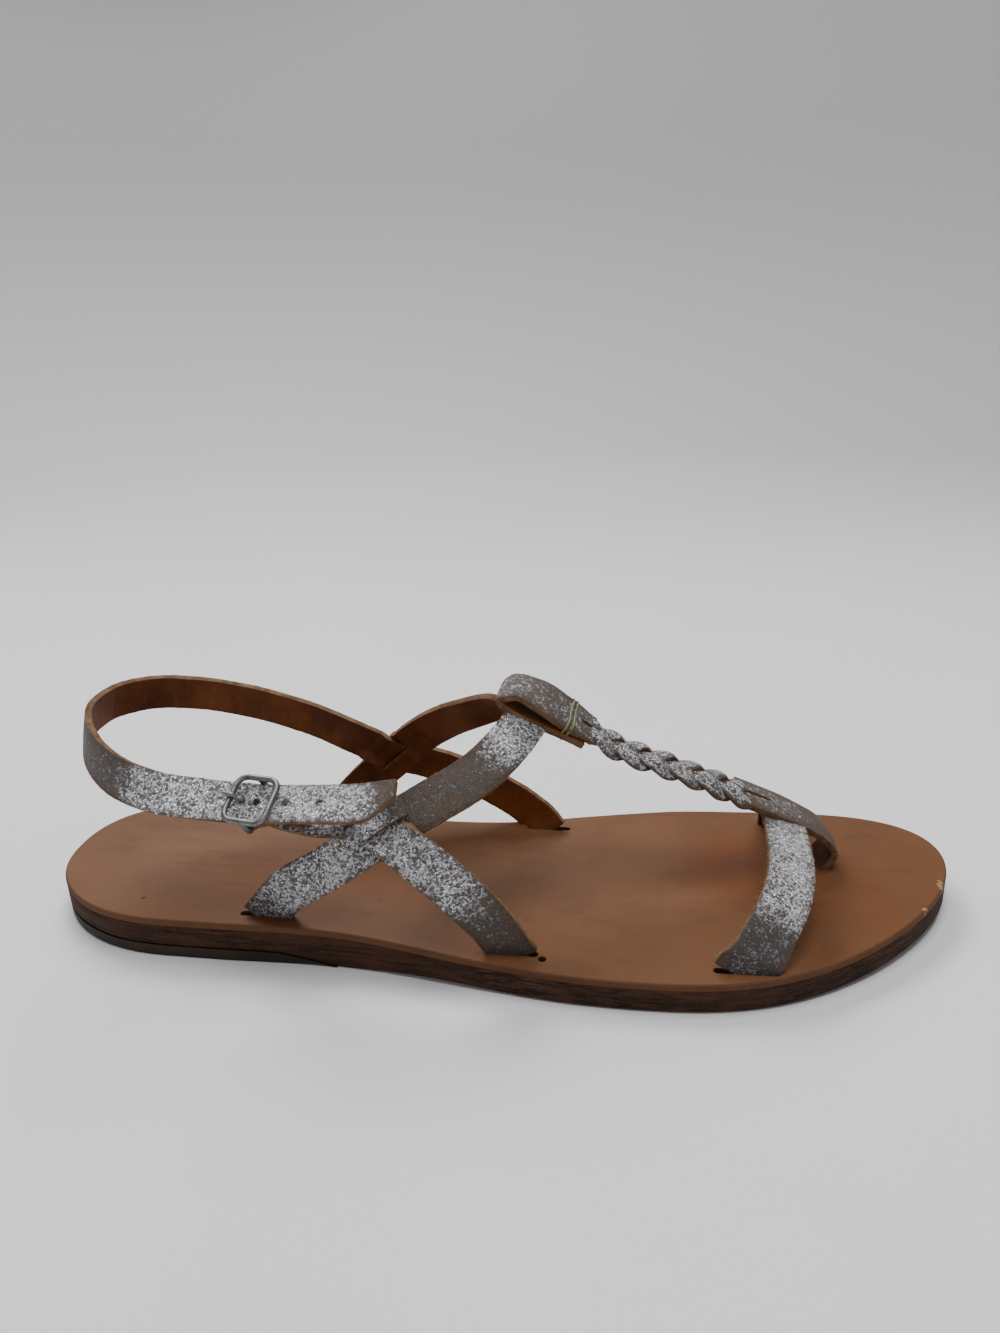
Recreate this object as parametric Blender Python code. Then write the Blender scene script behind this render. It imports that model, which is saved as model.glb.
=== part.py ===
import math

import bpy
import bmesh
import numpy as np
from mathutils import Matrix, Vector

# Sole sizes, in metres. X runs from heel to toe, Y to the big toe side, Z up
LENGTH = 0.266
BALL_WIDTH = 0.087
INSOLE = 0.0020
SOLE_THICKNESS = 0.0086
HEEL_RISE = 0.0036
TOE_SPRING = 0.0024
EDGE_LIFT = 0.0010
EDGE_INSET = 0.0009
INSOLE_ROUND = 0.0007
HEEL_PIECE_LENGTH = 0.078
HEEL_JOINT_SLANT = 0.016
WEDGE_END = 0.126
LAYER_GAP = 0.0003

# Strap sizes
STRAP = 0.0018
INSTEP_WIDTH = 0.0120
ANKLE_WIDTH = 0.0104
FRONT_WIDTH = 0.0120
TOE_WIDTH = 0.0125
INSTEP_RISE = 0.0530
STRAP_CHAMFER = 0.0004
TIP_CUT = 0.0085
STRAP_ROOT = 0.0080
FOLD_END_WIDTH = 0.0104
BUCKLE_STRAP_EXTRA = 0.0004
TIP_LEFT = 0.0020
SLOT_CLEARANCE = 0.0003
WELD = 0.000005
BRAID_STRAND = 0.0043
BRAID_REACH = 0.0034
BRAID_LIFT = 0.00085
BRAID_PERIODS = 2
BRAID_STEP = 0.00030
BRAID_STRANDS = 3
STRAP_HOLE = 0.0022
STRAP_HOLE_PITCH = 0.0086
STRAP_HOLE_SHIFT = 0.0008
STRAP_HOLES = 3

# Buckle sizes
BUCKLE_PLACE = 0.293
BUCKLE_WIRE = 0.0016
BUCKLE_LENGTH = 0.0134
BUCKLE_CORNER = 0.0028
BUCKLE_ROLL = 6
PRONG_WIRE = 0.0014
BAR_GAP = 0.0003
TAB_LENGTH = 0.0125
RIVET_PLACE = 0.0085
RIVET_HEAD = 0.0042
RIVET_HEAD_HEIGHT = 0.0006
RIVET_SHANK = 0.0018
PRONG_SLOT = {"length": 0.0074, "depth": 0.0072}
PRONG_HOLE = {"length": 0.0034, "depth": 0.0030, "shift": -0.0027}
BAR_TURN = 0.0012

# How far apart the sections of each strap are
PITCH = {
    "instep": 0.0042, "buckle": 0.0022, "ankle": 0.0044, "loop": 0.0022, "post": 0.0030, "toe": 0.0040,
}

# Sole plan: share of the length, half width and sideways swing as shares of half the ball width
PLAN = [
    {"along": 0.00, "half": 0.770, "swing": 0.160},
    {"along": 0.10, "half": 0.772, "swing": 0.085},
    {"along": 0.22, "half": 0.773, "swing": 0.046},
    {"along": 0.38, "half": 0.724, "swing": -0.034},
    {"along": 0.50, "half": 0.808, "swing": -0.077},
    {"along": 0.60, "half": 0.922, "swing": -0.055},
    {"along": 0.70, "half": 0.988, "swing": -0.012},
    {"along": 0.80, "half": 1.000, "swing": 0.052},
    {"along": 0.88, "half": 0.995, "swing": 0.165},
    {"along": 0.94, "half": 0.985, "swing": 0.275},
    {"along": 1.00, "half": 0.975, "swing": 0.385},
]
HEEL_ROUND = {"length": 0.175, "power": 2.25}
TOE_ROUND = {"length": 0.305, "power": 2.05}

# Strap runs: along is a share of the length, across of half the ball width and up of the instep
# rise over the footbed. The face looks to the azimuth and elevation given in degrees
INSTEP_STRAP = [
    {"along": 0.279, "across": -0.610, "up": 0.000, "azimuth": -90, "elevation": 0},
    {"along": 0.314, "across": -0.655, "up": 0.200, "azimuth": -92, "elevation": 14},
    {"along": 0.352, "across": -0.680, "up": 0.330, "azimuth": -90, "elevation": 26},
    {"along": 0.412, "across": -0.665, "up": 0.555, "azimuth": -84, "elevation": 38},
    {"along": 0.453, "across": -0.610, "up": 0.690, "azimuth": -76, "elevation": 46},
    {"along": 0.500, "across": -0.430, "up": 0.800, "azimuth": -62, "elevation": 52},
    {"along": 0.541, "across": -0.160, "up": 0.955, "azimuth": -40, "elevation": 58},
    {"along": 0.549, "across": 0.025, "up": 1.000, "azimuth": 0, "elevation": 60},
    {"along": 0.531, "across": 0.150, "up": 0.988, "azimuth": 45, "elevation": 52},
    {"along": 0.468, "across": 0.358, "up": 0.842, "azimuth": 78, "elevation": 30},
    {"along": 0.416, "across": 0.560, "up": 0.640, "azimuth": 86, "elevation": 16},
    {"along": 0.372, "across": 0.672, "up": 0.415, "azimuth": 90, "elevation": 8},
    {"along": 0.335, "across": 0.690, "up": 0.235, "azimuth": 90, "elevation": 4},
    {"along": 0.292, "across": 0.620, "up": 0.000, "azimuth": 90, "elevation": 0},
]
BUCKLE_STRAP = [
    {"along": 0.540, "across": -0.790, "up": 0.000, "azimuth": -90, "elevation": 0},
    {"along": 0.517, "across": -0.825, "up": 0.200, "azimuth": -90, "elevation": 12},
    {"along": 0.494, "across": -0.838, "up": 0.335, "azimuth": -88, "elevation": 24},
    {"along": 0.466, "across": -0.815, "up": 0.455, "azimuth": -86, "elevation": 32},
    {"along": 0.440, "across": -0.762, "up": 0.530, "azimuth": -85, "elevation": 37},
    {"along": 0.417, "across": -0.690, "up": 0.568, "azimuth": -88, "elevation": 41},
    {"along": 0.396, "across": -0.638, "up": 0.590, "azimuth": -93, "elevation": 45},
    {"along": 0.366, "across": -0.630, "up": 0.606, "azimuth": -97, "elevation": 50},
    {"along": 0.344, "across": -0.640, "up": 0.625, "azimuth": -100, "elevation": 53},
]
ANKLE_STRAP = [
    {"along": 0.558, "across": 0.676, "up": 0.000, "azimuth": 90, "elevation": 0},
    {"along": 0.549, "across": 0.705, "up": 0.050, "azimuth": 90, "elevation": 3},
    {"along": 0.530, "across": 0.740, "up": 0.118, "azimuth": 90, "elevation": 5},
    {"along": 0.498, "across": 0.762, "up": 0.210, "azimuth": 90, "elevation": 6},
    {"along": 0.450, "across": 0.762, "up": 0.318, "azimuth": 90, "elevation": 8},
    {"along": 0.405, "across": 0.742, "up": 0.388, "azimuth": 90, "elevation": 9},
    {"along": 0.378, "across": 0.674, "up": 0.440, "azimuth": 90, "elevation": 8},
    {"along": 0.347, "across": 0.655, "up": 0.510, "azimuth": 91, "elevation": 8},
    {"along": 0.268, "across": 0.685, "up": 0.662, "azimuth": 94, "elevation": 10},
    {"along": 0.195, "across": 0.660, "up": 0.778, "azimuth": 100, "elevation": 12},
    {"along": 0.140, "across": 0.585, "up": 0.848, "azimuth": 115, "elevation": 14},
    {"along": 0.094, "across": 0.410, "up": 0.900, "azimuth": 138, "elevation": 16},
    {"along": 0.070, "across": 0.170, "up": 0.912, "azimuth": 163, "elevation": 16},
    {"along": 0.067, "across": -0.070, "up": 0.882, "azimuth": 188, "elevation": 15},
    {"along": 0.084, "across": -0.270, "up": 0.830, "azimuth": 213, "elevation": 16},
    {"along": 0.126, "across": -0.485, "up": 0.752, "azimuth": 238, "elevation": 22},
    {"along": 0.180, "across": -0.600, "up": 0.700, "azimuth": 250, "elevation": 34},
    {"along": 0.240, "across": -0.668, "up": 0.692, "azimuth": 254, "elevation": 47},
    {"along": 0.290, "across": -0.722, "up": 0.705, "azimuth": 255, "elevation": 56},
    {"along": 0.340, "across": -0.742, "up": 0.724, "azimuth": 259, "elevation": 58},
    {"along": 0.392, "across": -0.748, "up": 0.752, "azimuth": 262, "elevation": 56},
    {"along": 0.434, "across": -0.752, "up": 0.792, "azimuth": 264, "elevation": 54},
]
FRONT_LOOP = [
    {"along": 0.606, "across": 0.080, "up": 0.868, "azimuth": 150, "elevation": -55},
    {"along": 0.572, "across": 0.052, "up": 0.962, "azimuth": 150, "elevation": -57},
    {"along": 0.534, "across": 0.045, "up": 1.050, "azimuth": 160, "elevation": -56},
    {"along": 0.521, "across": 0.045, "up": 1.098, "azimuth": 178, "elevation": 12},
    {"along": 0.534, "across": 0.045, "up": 1.134, "azimuth": -25, "elevation": 70},
    {"along": 0.562, "across": 0.050, "up": 1.086, "azimuth": -32, "elevation": 57},
    {"along": 0.590, "across": 0.066, "up": 0.980, "azimuth": -34, "elevation": 53},
    {"along": 0.617, "across": 0.096, "up": 0.872, "azimuth": -30, "elevation": 52},
]
BRAID = [
    {"along": 0.613, "across": 0.090, "up": 0.888, "azimuth": -28, "elevation": 52},
    {"along": 0.646, "across": 0.120, "up": 0.775, "azimuth": -24, "elevation": 58},
    {"along": 0.690, "across": 0.145, "up": 0.682, "azimuth": -20, "elevation": 64},
    {"along": 0.735, "across": 0.178, "up": 0.582, "azimuth": -16, "elevation": 63},
    {"along": 0.778, "across": 0.222, "up": 0.470, "azimuth": -12, "elevation": 60},
]
TOE_POST = [
    {"along": 0.772, "across": 0.215, "up": 0.486, "azimuth": -12, "elevation": 60},
    {"along": 0.795, "across": 0.248, "up": 0.425, "azimuth": -10, "elevation": 59},
    {"along": 0.820, "across": 0.285, "up": 0.355, "azimuth": -6, "elevation": 52},
    {"along": 0.848, "across": 0.315, "up": 0.268, "azimuth": -3, "elevation": 42},
    {"along": 0.870, "across": 0.334, "up": 0.180, "azimuth": 0, "elevation": 20},
    {"along": 0.879, "across": 0.342, "up": 0.095, "azimuth": 2, "elevation": -10},
    {"along": 0.874, "across": 0.345, "up": 0.040, "azimuth": 3, "elevation": -24},
    {"along": 0.868, "across": 0.346, "up": 0.000, "azimuth": 3, "elevation": -28},
]
TOE_STRAP = [
    {"along": 0.761, "across": -0.864, "up": 0.000, "azimuth": -90, "elevation": 2},
    {"along": 0.772, "across": -0.846, "up": 0.090, "azimuth": -86, "elevation": 12},
    {"along": 0.784, "across": -0.765, "up": 0.175, "azimuth": -80, "elevation": 30},
    {"along": 0.800, "across": -0.605, "up": 0.245, "azimuth": -70, "elevation": 50},
    {"along": 0.811, "across": -0.405, "up": 0.290, "azimuth": -50, "elevation": 64},
    {"along": 0.817, "across": -0.120, "up": 0.315, "azimuth": -15, "elevation": 72},
    {"along": 0.820, "across": 0.150, "up": 0.315, "azimuth": 15, "elevation": 72},
    {"along": 0.825, "across": 0.420, "up": 0.280, "azimuth": 60, "elevation": 58},
    {"along": 0.831, "across": 0.660, "up": 0.190, "azimuth": 78, "elevation": 34},
    {"along": 0.835, "across": 0.800, "up": 0.080, "azimuth": 86, "elevation": 12},
    {"along": 0.836, "across": 0.828, "up": 0.000, "azimuth": 90, "elevation": 2},
]

COLOURS = {
    "insole": ((0.30, 0.145, 0.065), 0.55, 0.0),
    "outsole": ((0.085, 0.050, 0.034), 0.70, 0.0),
    "heel_wedge": ((0.080, 0.048, 0.034), 0.75, 0.0),
    "heel_piece": ((0.035, 0.030, 0.020), 0.60, 0.0),
    "upper": ((0.42, 0.39, 0.36), 0.35, 0.6),
    "buckle_frame": ((0.34, 0.32, 0.29), 0.35, 1.0),
    "buckle_prong": ((0.34, 0.32, 0.29), 0.35, 1.0),
    "tab_rivet": ((0.06, 0.05, 0.045), 0.45, 1.0),
}


def clearScene():
    for obj in list(bpy.data.objects):
        bpy.data.objects.remove(obj)
    for name in ("Leather sandal", "Cutters"):
        group = bpy.data.collections.new(name)
        bpy.context.scene.collection.children.link(group)
    return bpy.data.collections["Leather sandal"], bpy.data.collections["Cutters"]


def makeMaterial(name):
    colour, roughness, metallic = COLOURS[name]
    material = bpy.data.materials.new(name)
    material.use_nodes = True
    shader = material.node_tree.nodes["Principled BSDF"]
    shader.inputs["Base Color"].default_value = (*colour, 1)
    shader.inputs["Roughness"].default_value = roughness
    shader.inputs["Metallic"].default_value = metallic
    return material


def makeObject(name, points, faces, group):
    mesh = bpy.data.meshes.new(name)
    mesh.from_pydata([tuple(p) for p in points], [], faces)
    mesh.validate()
    work = bmesh.new()
    work.from_mesh(mesh)
    bmesh.ops.recalc_face_normals(work, faces=work.faces)
    work.to_mesh(mesh)
    work.free()
    obj = bpy.data.objects.new(name, mesh)
    group.objects.link(obj)
    return obj


def asPiece(obj):
    obj.data.materials.clear()
    obj.data.materials.append(makeMaterial(obj.name))
    obj.data.shade_smooth()
    obj.data.set_sharp_from_angle(angle=math.radians(35))


def asCutter(obj):
    obj.hide_render = True
    obj.display_type = "WIRE"
    return obj


def boolean(obj, other, operation):
    modifier = obj.modifiers.new(other.name, "BOOLEAN")
    modifier.operation = operation
    modifier.solver = "EXACT"
    modifier.object = other


# Closes the hairline steps that a chain of joins leaves
def weld(obj):
    modifier = obj.modifiers.new("weld", "WELD")
    modifier.merge_threshold = WELD
    obj.modifiers.new("triangles", "TRIANGULATE")


def easeStep(t):
    t = min(max(t, 0.0), 1.0)
    return t * t * (3 - 2 * t)


# A smooth curve through the values at the places given, as one cubic between each two
def smoothThrough(places, values, at):
    places = np.asarray(places, float)
    values = np.asarray(values, float)
    slopes = np.gradient(values, places, axis=0)
    k = int(np.clip(np.searchsorted(places, at) - 1, 0, len(places) - 2))
    span = places[k + 1] - places[k]
    t = (at - places[k]) / span
    h00 = 2 * t**3 - 3 * t**2 + 1
    h10 = t**3 - 2 * t**2 + t
    h01 = -2 * t**3 + 3 * t**2
    h11 = t**3 - t**2
    return (
        h00 * values[k]
        + h10 * span * slopes[k]
        + h01 * values[k + 1]
        + h11 * span * slopes[k + 1]
    )


def endRound(share, spec):
    if share >= spec["length"]:
        return 1.0
    inside = 1 - abs(1 - share / spec["length"]) ** spec["power"]
    return max(inside, 0.0) ** (1 / spec["power"])


def planAt(share, side):
    places = [row["along"] for row in PLAN]
    half = smoothThrough(places, [row["half"] for row in PLAN], share)
    swing = smoothThrough(places, [row["swing"] for row in PLAN], share)
    half *= endRound(share, HEEL_ROUND) * endRound(1 - share, TOE_ROUND)
    return BALL_WIDTH / 2 * (swing + side * half)


def toeLift(share):
    return TOE_SPRING * max((share - 0.74) / 0.26, 0.0) ** 2


def topAt(x):
    share = min(max(x / LENGTH + 0.5, 0.0), 1.0)
    rise = HEEL_RISE * (1 - easeStep((share - 0.25) / 0.35))
    return SOLE_THICKNESS + rise + toeLift(share)


def leatherUnderAt(x):
    return topAt(x) - SOLE_THICKNESS


# The outline between two places along the sole, lateral side out and medial side back
def outline(start, end, count):
    turns = [0.5 - 0.5 * math.cos(math.pi * i / count) for i in range(count + 1)]
    shares = [start + (end - start) * t for t in turns]
    lateral = [((s - 0.5) * LENGTH, planAt(s, -1)) for s in shares]
    medial = [((s - 0.5) * LENGTH, planAt(s, 1)) for s in shares]
    return lateral, medial


def insetLoop(loop, distance):
    count = len(loop)
    moved = []
    for i in range(count):
        before = Vector(loop[i - 1])
        after = Vector(loop[(i + 1) % count])
        along = (after - before).normalized()
        moved.append(Vector(loop[i]) + distance * Vector((-along.y, along.x)))
    return moved


# A sole layer: levels are (inset from the outline, height function), from the top rim to the
# bottom rim, and the faces across join lateral and medial points at each station
def layer(name, start, end, count, levels, group):
    lateral, medial = outline(start, end, count)
    closedStart = (Vector(lateral[0]) - Vector(medial[0])).length < 1e-5
    closedEnd = (Vector(lateral[-1]) - Vector(medial[-1])).length < 1e-5
    back = medial[::-1]
    loop = lateral + (back[1:] if closedEnd else back)
    if closedStart:
        loop = loop[:-1]
    size = len(loop)
    points = []
    for inset, height in levels:
        for p in insetLoop(loop, inset):
            points.append((p.x, p.y, height(p.x)))
    faces = []
    for k in range(len(levels) - 1):
        for i in range(size):
            j = (i + 1) % size
            a, b = k * size + i, k * size + j
            faces.append((a, b, b + size, a + size))
    for base in (0, (len(levels) - 1) * size):
        for i in range(count):
            j0 = (size - i) % size if closedStart else size - 1 - i
            j1 = size - i - 1 if closedStart else size - 2 - i
            ring = [base + i, base + i + 1, base + j1, base + j0]
            faces.append(tuple(dict.fromkeys(ring)))
    return makeObject(name, points, faces, group)


def makeSole(group, cutters):
    insoleTop = [
        (INSOLE_ROUND, topAt),
        (INSOLE_ROUND * 0.3, lambda x: topAt(x) - INSOLE_ROUND * 0.3),
        (0.0, lambda x: topAt(x) - INSOLE_ROUND),
        (0.0, lambda x: topAt(x) - INSOLE + LAYER_GAP),
    ]
    insole = layer("insole", 0, 1, 44, insoleTop, group)
    bodySides = [
        (0.0, lambda x: topAt(x) - INSOLE),
        (0.0, lambda x: leatherUnderAt(x) + EDGE_LIFT),
        (EDGE_INSET, leatherUnderAt),
    ]
    outsole = layer("outsole", 0, 1, 44, bodySides, group)
    liftSides = [
        (0.0, lambda x: leatherUnderAt(x) - LAYER_GAP),
        (0.0, lambda x: min(EDGE_LIFT, leatherUnderAt(x)) * 0.5),
        (EDGE_INSET * 0.5, lambda x: 0.0),
    ]
    heel = layer("heel_piece", 0, WEDGE_END / LENGTH, 36, liftSides, group)
    wedge = layer("heel_wedge", 0, WEDGE_END / LENGTH, 36, liftSides, group)
    # The joint between them slants: the heel piece reaches forward at the top
    joint = Vector((HEEL_PIECE_LENGTH - LENGTH / 2, 0, HEEL_RISE))
    along = Vector((HEEL_JOINT_SLANT, 0, HEEL_RISE)).normalized()
    frame = (joint, along, Vector((0, 1, 0)), Vector((-along.z, 0, along.x)))
    reach = 0.4 * LENGTH
    below = cutBox("heel_front_cutter", frame, (3 * reach, reach, reach), (0, 0, -reach / 2), cutters)
    above = (0, 0, reach / 2 - LAYER_GAP)
    over = cutBox("wedge_back_cutter", frame, (3 * reach, reach, reach), above, cutters)
    boolean(heel, below, "DIFFERENCE")
    boolean(wedge, over, "DIFFERENCE")
    return [insole, outsole, heel, wedge]


# A point of a strap's run in metres, and its face direction
def runPoint(row):
    x = (row["along"] - 0.5) * LENGTH
    y = row["across"] * BALL_WIDTH / 2
    z = topAt(x) + row["up"] * INSTEP_RISE
    azimuth = math.radians(row["azimuth"])
    elevation = math.radians(row["elevation"])
    flat = math.cos(elevation)
    return (x, y, z), (flat * math.cos(azimuth), flat * math.sin(azimuth), math.sin(elevation))


# A run is rooted at the ends that go down into the sole: it goes on there in its own direction
class Run:
    def __init__(self, pairs, rooted=(False, False)):
        points = [Vector(p) for p, face in pairs]
        faces = [Vector(face) for p, face in pairs]
        if rooted[0]:
            points.insert(0, points[0] + STRAP_ROOT * (points[0] - points[1]).normalized())
            faces.insert(0, faces[0])
        if rooted[1]:
            points.append(points[-1] + STRAP_ROOT * (points[-1] - points[-2]).normalized())
            faces.append(faces[-1])
        self.points = np.array(points)
        self.faces = np.array(faces)
        steps = np.linalg.norm(np.diff(self.points, axis=0), axis=1)
        self.places = np.concatenate([[0], np.cumsum(steps)])
        self.length = float(self.places[-1])

    def at(self, distance):
        return Vector(smoothThrough(self.places, self.points, distance))

    # Middle, the way along, across the strap, and out of its face
    def frame(self, distance):
        step = 0.0004
        along = (self.at(distance + step) - self.at(distance - step)).normalized()
        face = Vector(smoothThrough(self.places, self.faces, distance))
        out = (face - face.dot(along) * along).normalized()
        return self.at(distance), along, along.cross(out), out


def band(name, frames, spans, thickness, group, lifts=None):
    c = STRAP_CHAMFER
    h = thickness / 2
    points = []
    for i, ((middle, along, across, out), (low, high)) in enumerate(zip(frames, spans)):
        centre = middle + (lifts[i] * out if lifts else Vector())
        section = [
            (low, c - h), (low + c, -h), (high - c, -h), (high, c - h),
            (high, h - c), (high - c, h), (low + c, h), (low, h - c),
        ]
        for side, lift in section:
            points.append(centre + side * across + lift * out)
    faces = [tuple(range(8)), tuple(len(points) - 8 + k for k in range(8))]
    for i in range(len(frames) - 1):
        for k in range(8):
            a, b = i * 8 + k, i * 8 + (k + 1) % 8
            faces.append((a, b, b + 8, a + 8))
    return makeObject(name, points, faces, group)


def strap(name, run, widths, pitch, group, endCut=0.0):
    count = max(int(run.length / pitch), 4)
    distances = [run.length * i / count for i in range(count + 1)]
    spans = []
    for d in distances:
        width = widths[0] + (widths[1] - widths[0]) * d / run.length
        left = run.length - d
        cut = 0.0
        if endCut > 0 and left < endCut:
            cut = (width - 2 * STRAP_CHAMFER - TIP_LEFT) * (1 - left / endCut)
        spans.append((-width / 2, width / 2 - cut))
    return band(name, [run.frame(d) for d in distances], spans, STRAP, group)


def braid(name, rows, group):
    run = Run([runPoint(row) for row in rows])
    count = 15 * BRAID_PERIODS
    strands = []
    for k in range(BRAID_STRANDS):
        frames, spans, lifts = [], [], []
        for i in range(count + 1):
            share = i / count
            middle, along, across, out = run.frame(run.length * share)
            phase = 2 * math.pi * (BRAID_PERIODS * share + k / BRAID_STRANDS)
            # The strands lie flat where they leave and rejoin the solid strap
            ease = easeStep(share / 0.10) * easeStep((1 - share) / 0.10)
            middle = middle + BRAID_REACH * math.sin(phase) * across
            frames.append((middle, along, across, out))
            spans.append((-BRAID_STRAND / 2, BRAID_STRAND / 2))
            lifts.append(BRAID_LIFT * math.sin(2 * phase) * ease + (k - 0.6) * BRAID_STEP)
        strands.append(band(f"{name}_{k}", frames, spans, STRAP, group, lifts))
    return strands


def wireObject(name, points, radius, cyclic, group):
    data = bpy.data.curves.new(name, "CURVE")
    data.dimensions = "3D"
    line = data.splines.new("POLY")
    line.points.add(len(points) - 1)
    for target, p in zip(line.points, points):
        target.co = (*p, 1)
    line.use_cyclic_u = cyclic
    data.bevel_depth = radius
    data.bevel_resolution = 2
    data.use_fill_caps = True
    wire = bpy.data.objects.new(name + "_line", data)
    group.objects.link(wire)
    bpy.context.view_layer.update()
    graph = bpy.context.evaluated_depsgraph_get()
    mesh = bpy.data.meshes.new_from_object(wire.evaluated_get(graph))
    work = bmesh.new()
    work.from_mesh(mesh)
    bmesh.ops.remove_doubles(work, verts=work.verts, dist=1e-6)
    bmesh.ops.recalc_face_normals(work, faces=work.faces)
    work.to_mesh(mesh)
    work.free()
    obj = bpy.data.objects.new(name, mesh)
    obj.matrix_world = wire.matrix_world
    group.objects.link(obj)
    bpy.data.objects.remove(wire)
    return obj


def cutBox(name, frame, size, offset, group):
    bpy.ops.mesh.primitive_cube_add(size=1)
    obj = bpy.context.object
    obj.name = name
    for owner in list(obj.users_collection):
        owner.objects.unlink(obj)
    group.objects.link(obj)
    middle, along, across, out = frame
    centre = middle + offset[0] * along + offset[1] * across + offset[2] * out
    turn = Matrix((along, across, out)).transposed().to_4x4()
    obj.data.transform(Matrix.Translation(centre) @ turn @ Matrix.Diagonal((*size, 1)))
    if turn.determinant() < 0:
        obj.data.flip_normals()
    return asCutter(obj)


def peg(name, frame, radius, low, high, group, sides=16):
    middle, along, across, out = frame
    work = bmesh.new()
    bmesh.ops.create_cone(
        work, cap_ends=True, segments=sides, radius1=radius, radius2=radius, depth=high - low
    )
    turn = out.to_track_quat("Z", "Y").to_matrix().to_4x4()
    place = Matrix.Translation(middle + (low + high) / 2 * out) @ turn
    bmesh.ops.transform(work, matrix=place, verts=work.verts)
    mesh = bpy.data.meshes.new(name)
    work.to_mesh(mesh)
    work.free()
    obj = bpy.data.objects.new(name, mesh)
    group.objects.link(obj)
    return obj


# A slot takes its place and length from the strap that goes down through it
def slotCutter(name, run, width, last, group):
    middle, along, across, out = run.frame(run.length - STRAP_ROOT if last else STRAP_ROOT)
    if along.z < 0:
        along = -along
    side = Vector((out.x, out.y)).normalized()
    line = Vector((-side.y, side.x))
    centre = Vector((middle.x, middle.y))
    floor = topAt(middle.x) - INSOLE
    ends = []
    for level in (floor, floor + INSOLE):
        for edge in (-width / 2, width / 2):
            corner = middle + edge * across
            corner = corner + (level - corner.z) / along.z * along
            ends.append(line.dot(Vector((corner.x, corner.y)) - centre))
    half = STRAP / 2 + 2 * SLOT_CLEARANCE + abs(out.z) * INSOLE
    near = min(ends) - SLOT_CLEARANCE - half * 0.8
    far = max(ends) + SLOT_CLEARANCE + half * 0.8
    flat = []
    for i in range(13):
        angle = -math.pi / 2 + math.pi * i / 12
        flat.append((far - half + half * math.cos(angle), half * math.sin(angle)))
    for i in range(13):
        angle = math.pi / 2 + math.pi * i / 12
        flat.append((near + half + half * math.cos(angle), half * math.sin(angle)))
    points = []
    for z in (floor - 0.001, floor + INSOLE + 0.002):
        for a, b in flat:
            p = centre + a * line + b * side
            points.append((p.x, p.y, z))
    size = len(flat)
    faces = [tuple(range(size)), tuple(range(size, 2 * size))]
    for i in range(size):
        j = (i + 1) % size
        faces.append((i, j, j + size, i + size))
    return asCutter(makeObject(name, points, faces, group))


# The buckle's own frame on the ankle strap: along the strap, up its bar, and out of its face
def buckleFrame(ankle):
    want = (BUCKLE_PLACE - 0.5) * LENGTH
    distance = ankle.length
    while ankle.at(distance).x > want:
        distance -= 0.0002
    middle, along, across, out = ankle.frame(distance)
    up = -across
    roll = math.radians(BUCKLE_ROLL)
    turned = math.cos(roll) * along - math.sin(roll) * up
    return middle, turned, math.cos(roll) * up + math.sin(roll) * along, out


def inBuckle(frame, a, b, c):
    middle, along, up, out = frame
    return middle + a * along + b * up + c * out


STRAP_STEP = STRAP + LAYER_GAP
BAR_STEP = STRAP / 2 + BAR_GAP + BUCKLE_WIRE / 2
BAR_DEPTH = -(STRAP_STEP + BAR_STEP)


# The buckle strap goes on from its table, round the bar and back as a riveted tab
def foldPairs(frame):
    along, out = frame[1], frame[3]
    pairs = []
    for a in (0.0110, 0.0060, 0.0015):
        pairs.append((inBuckle(frame, a, 0, -STRAP_STEP), out))
    for degrees in (90, 120, 150, 180, 210, 240, 270):
        angle = math.radians(degrees)
        radial = math.cos(angle) * along + math.sin(angle) * out
        centre = inBuckle(frame, 0, 0, BAR_DEPTH)
        pairs.append((centre + BAR_STEP * radial, radial))
    for a in (0.0030, 0.0070, TAB_LENGTH):
        pairs.append((inBuckle(frame, a, 0, BAR_DEPTH - BAR_STEP), -out))
    return pairs


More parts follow.
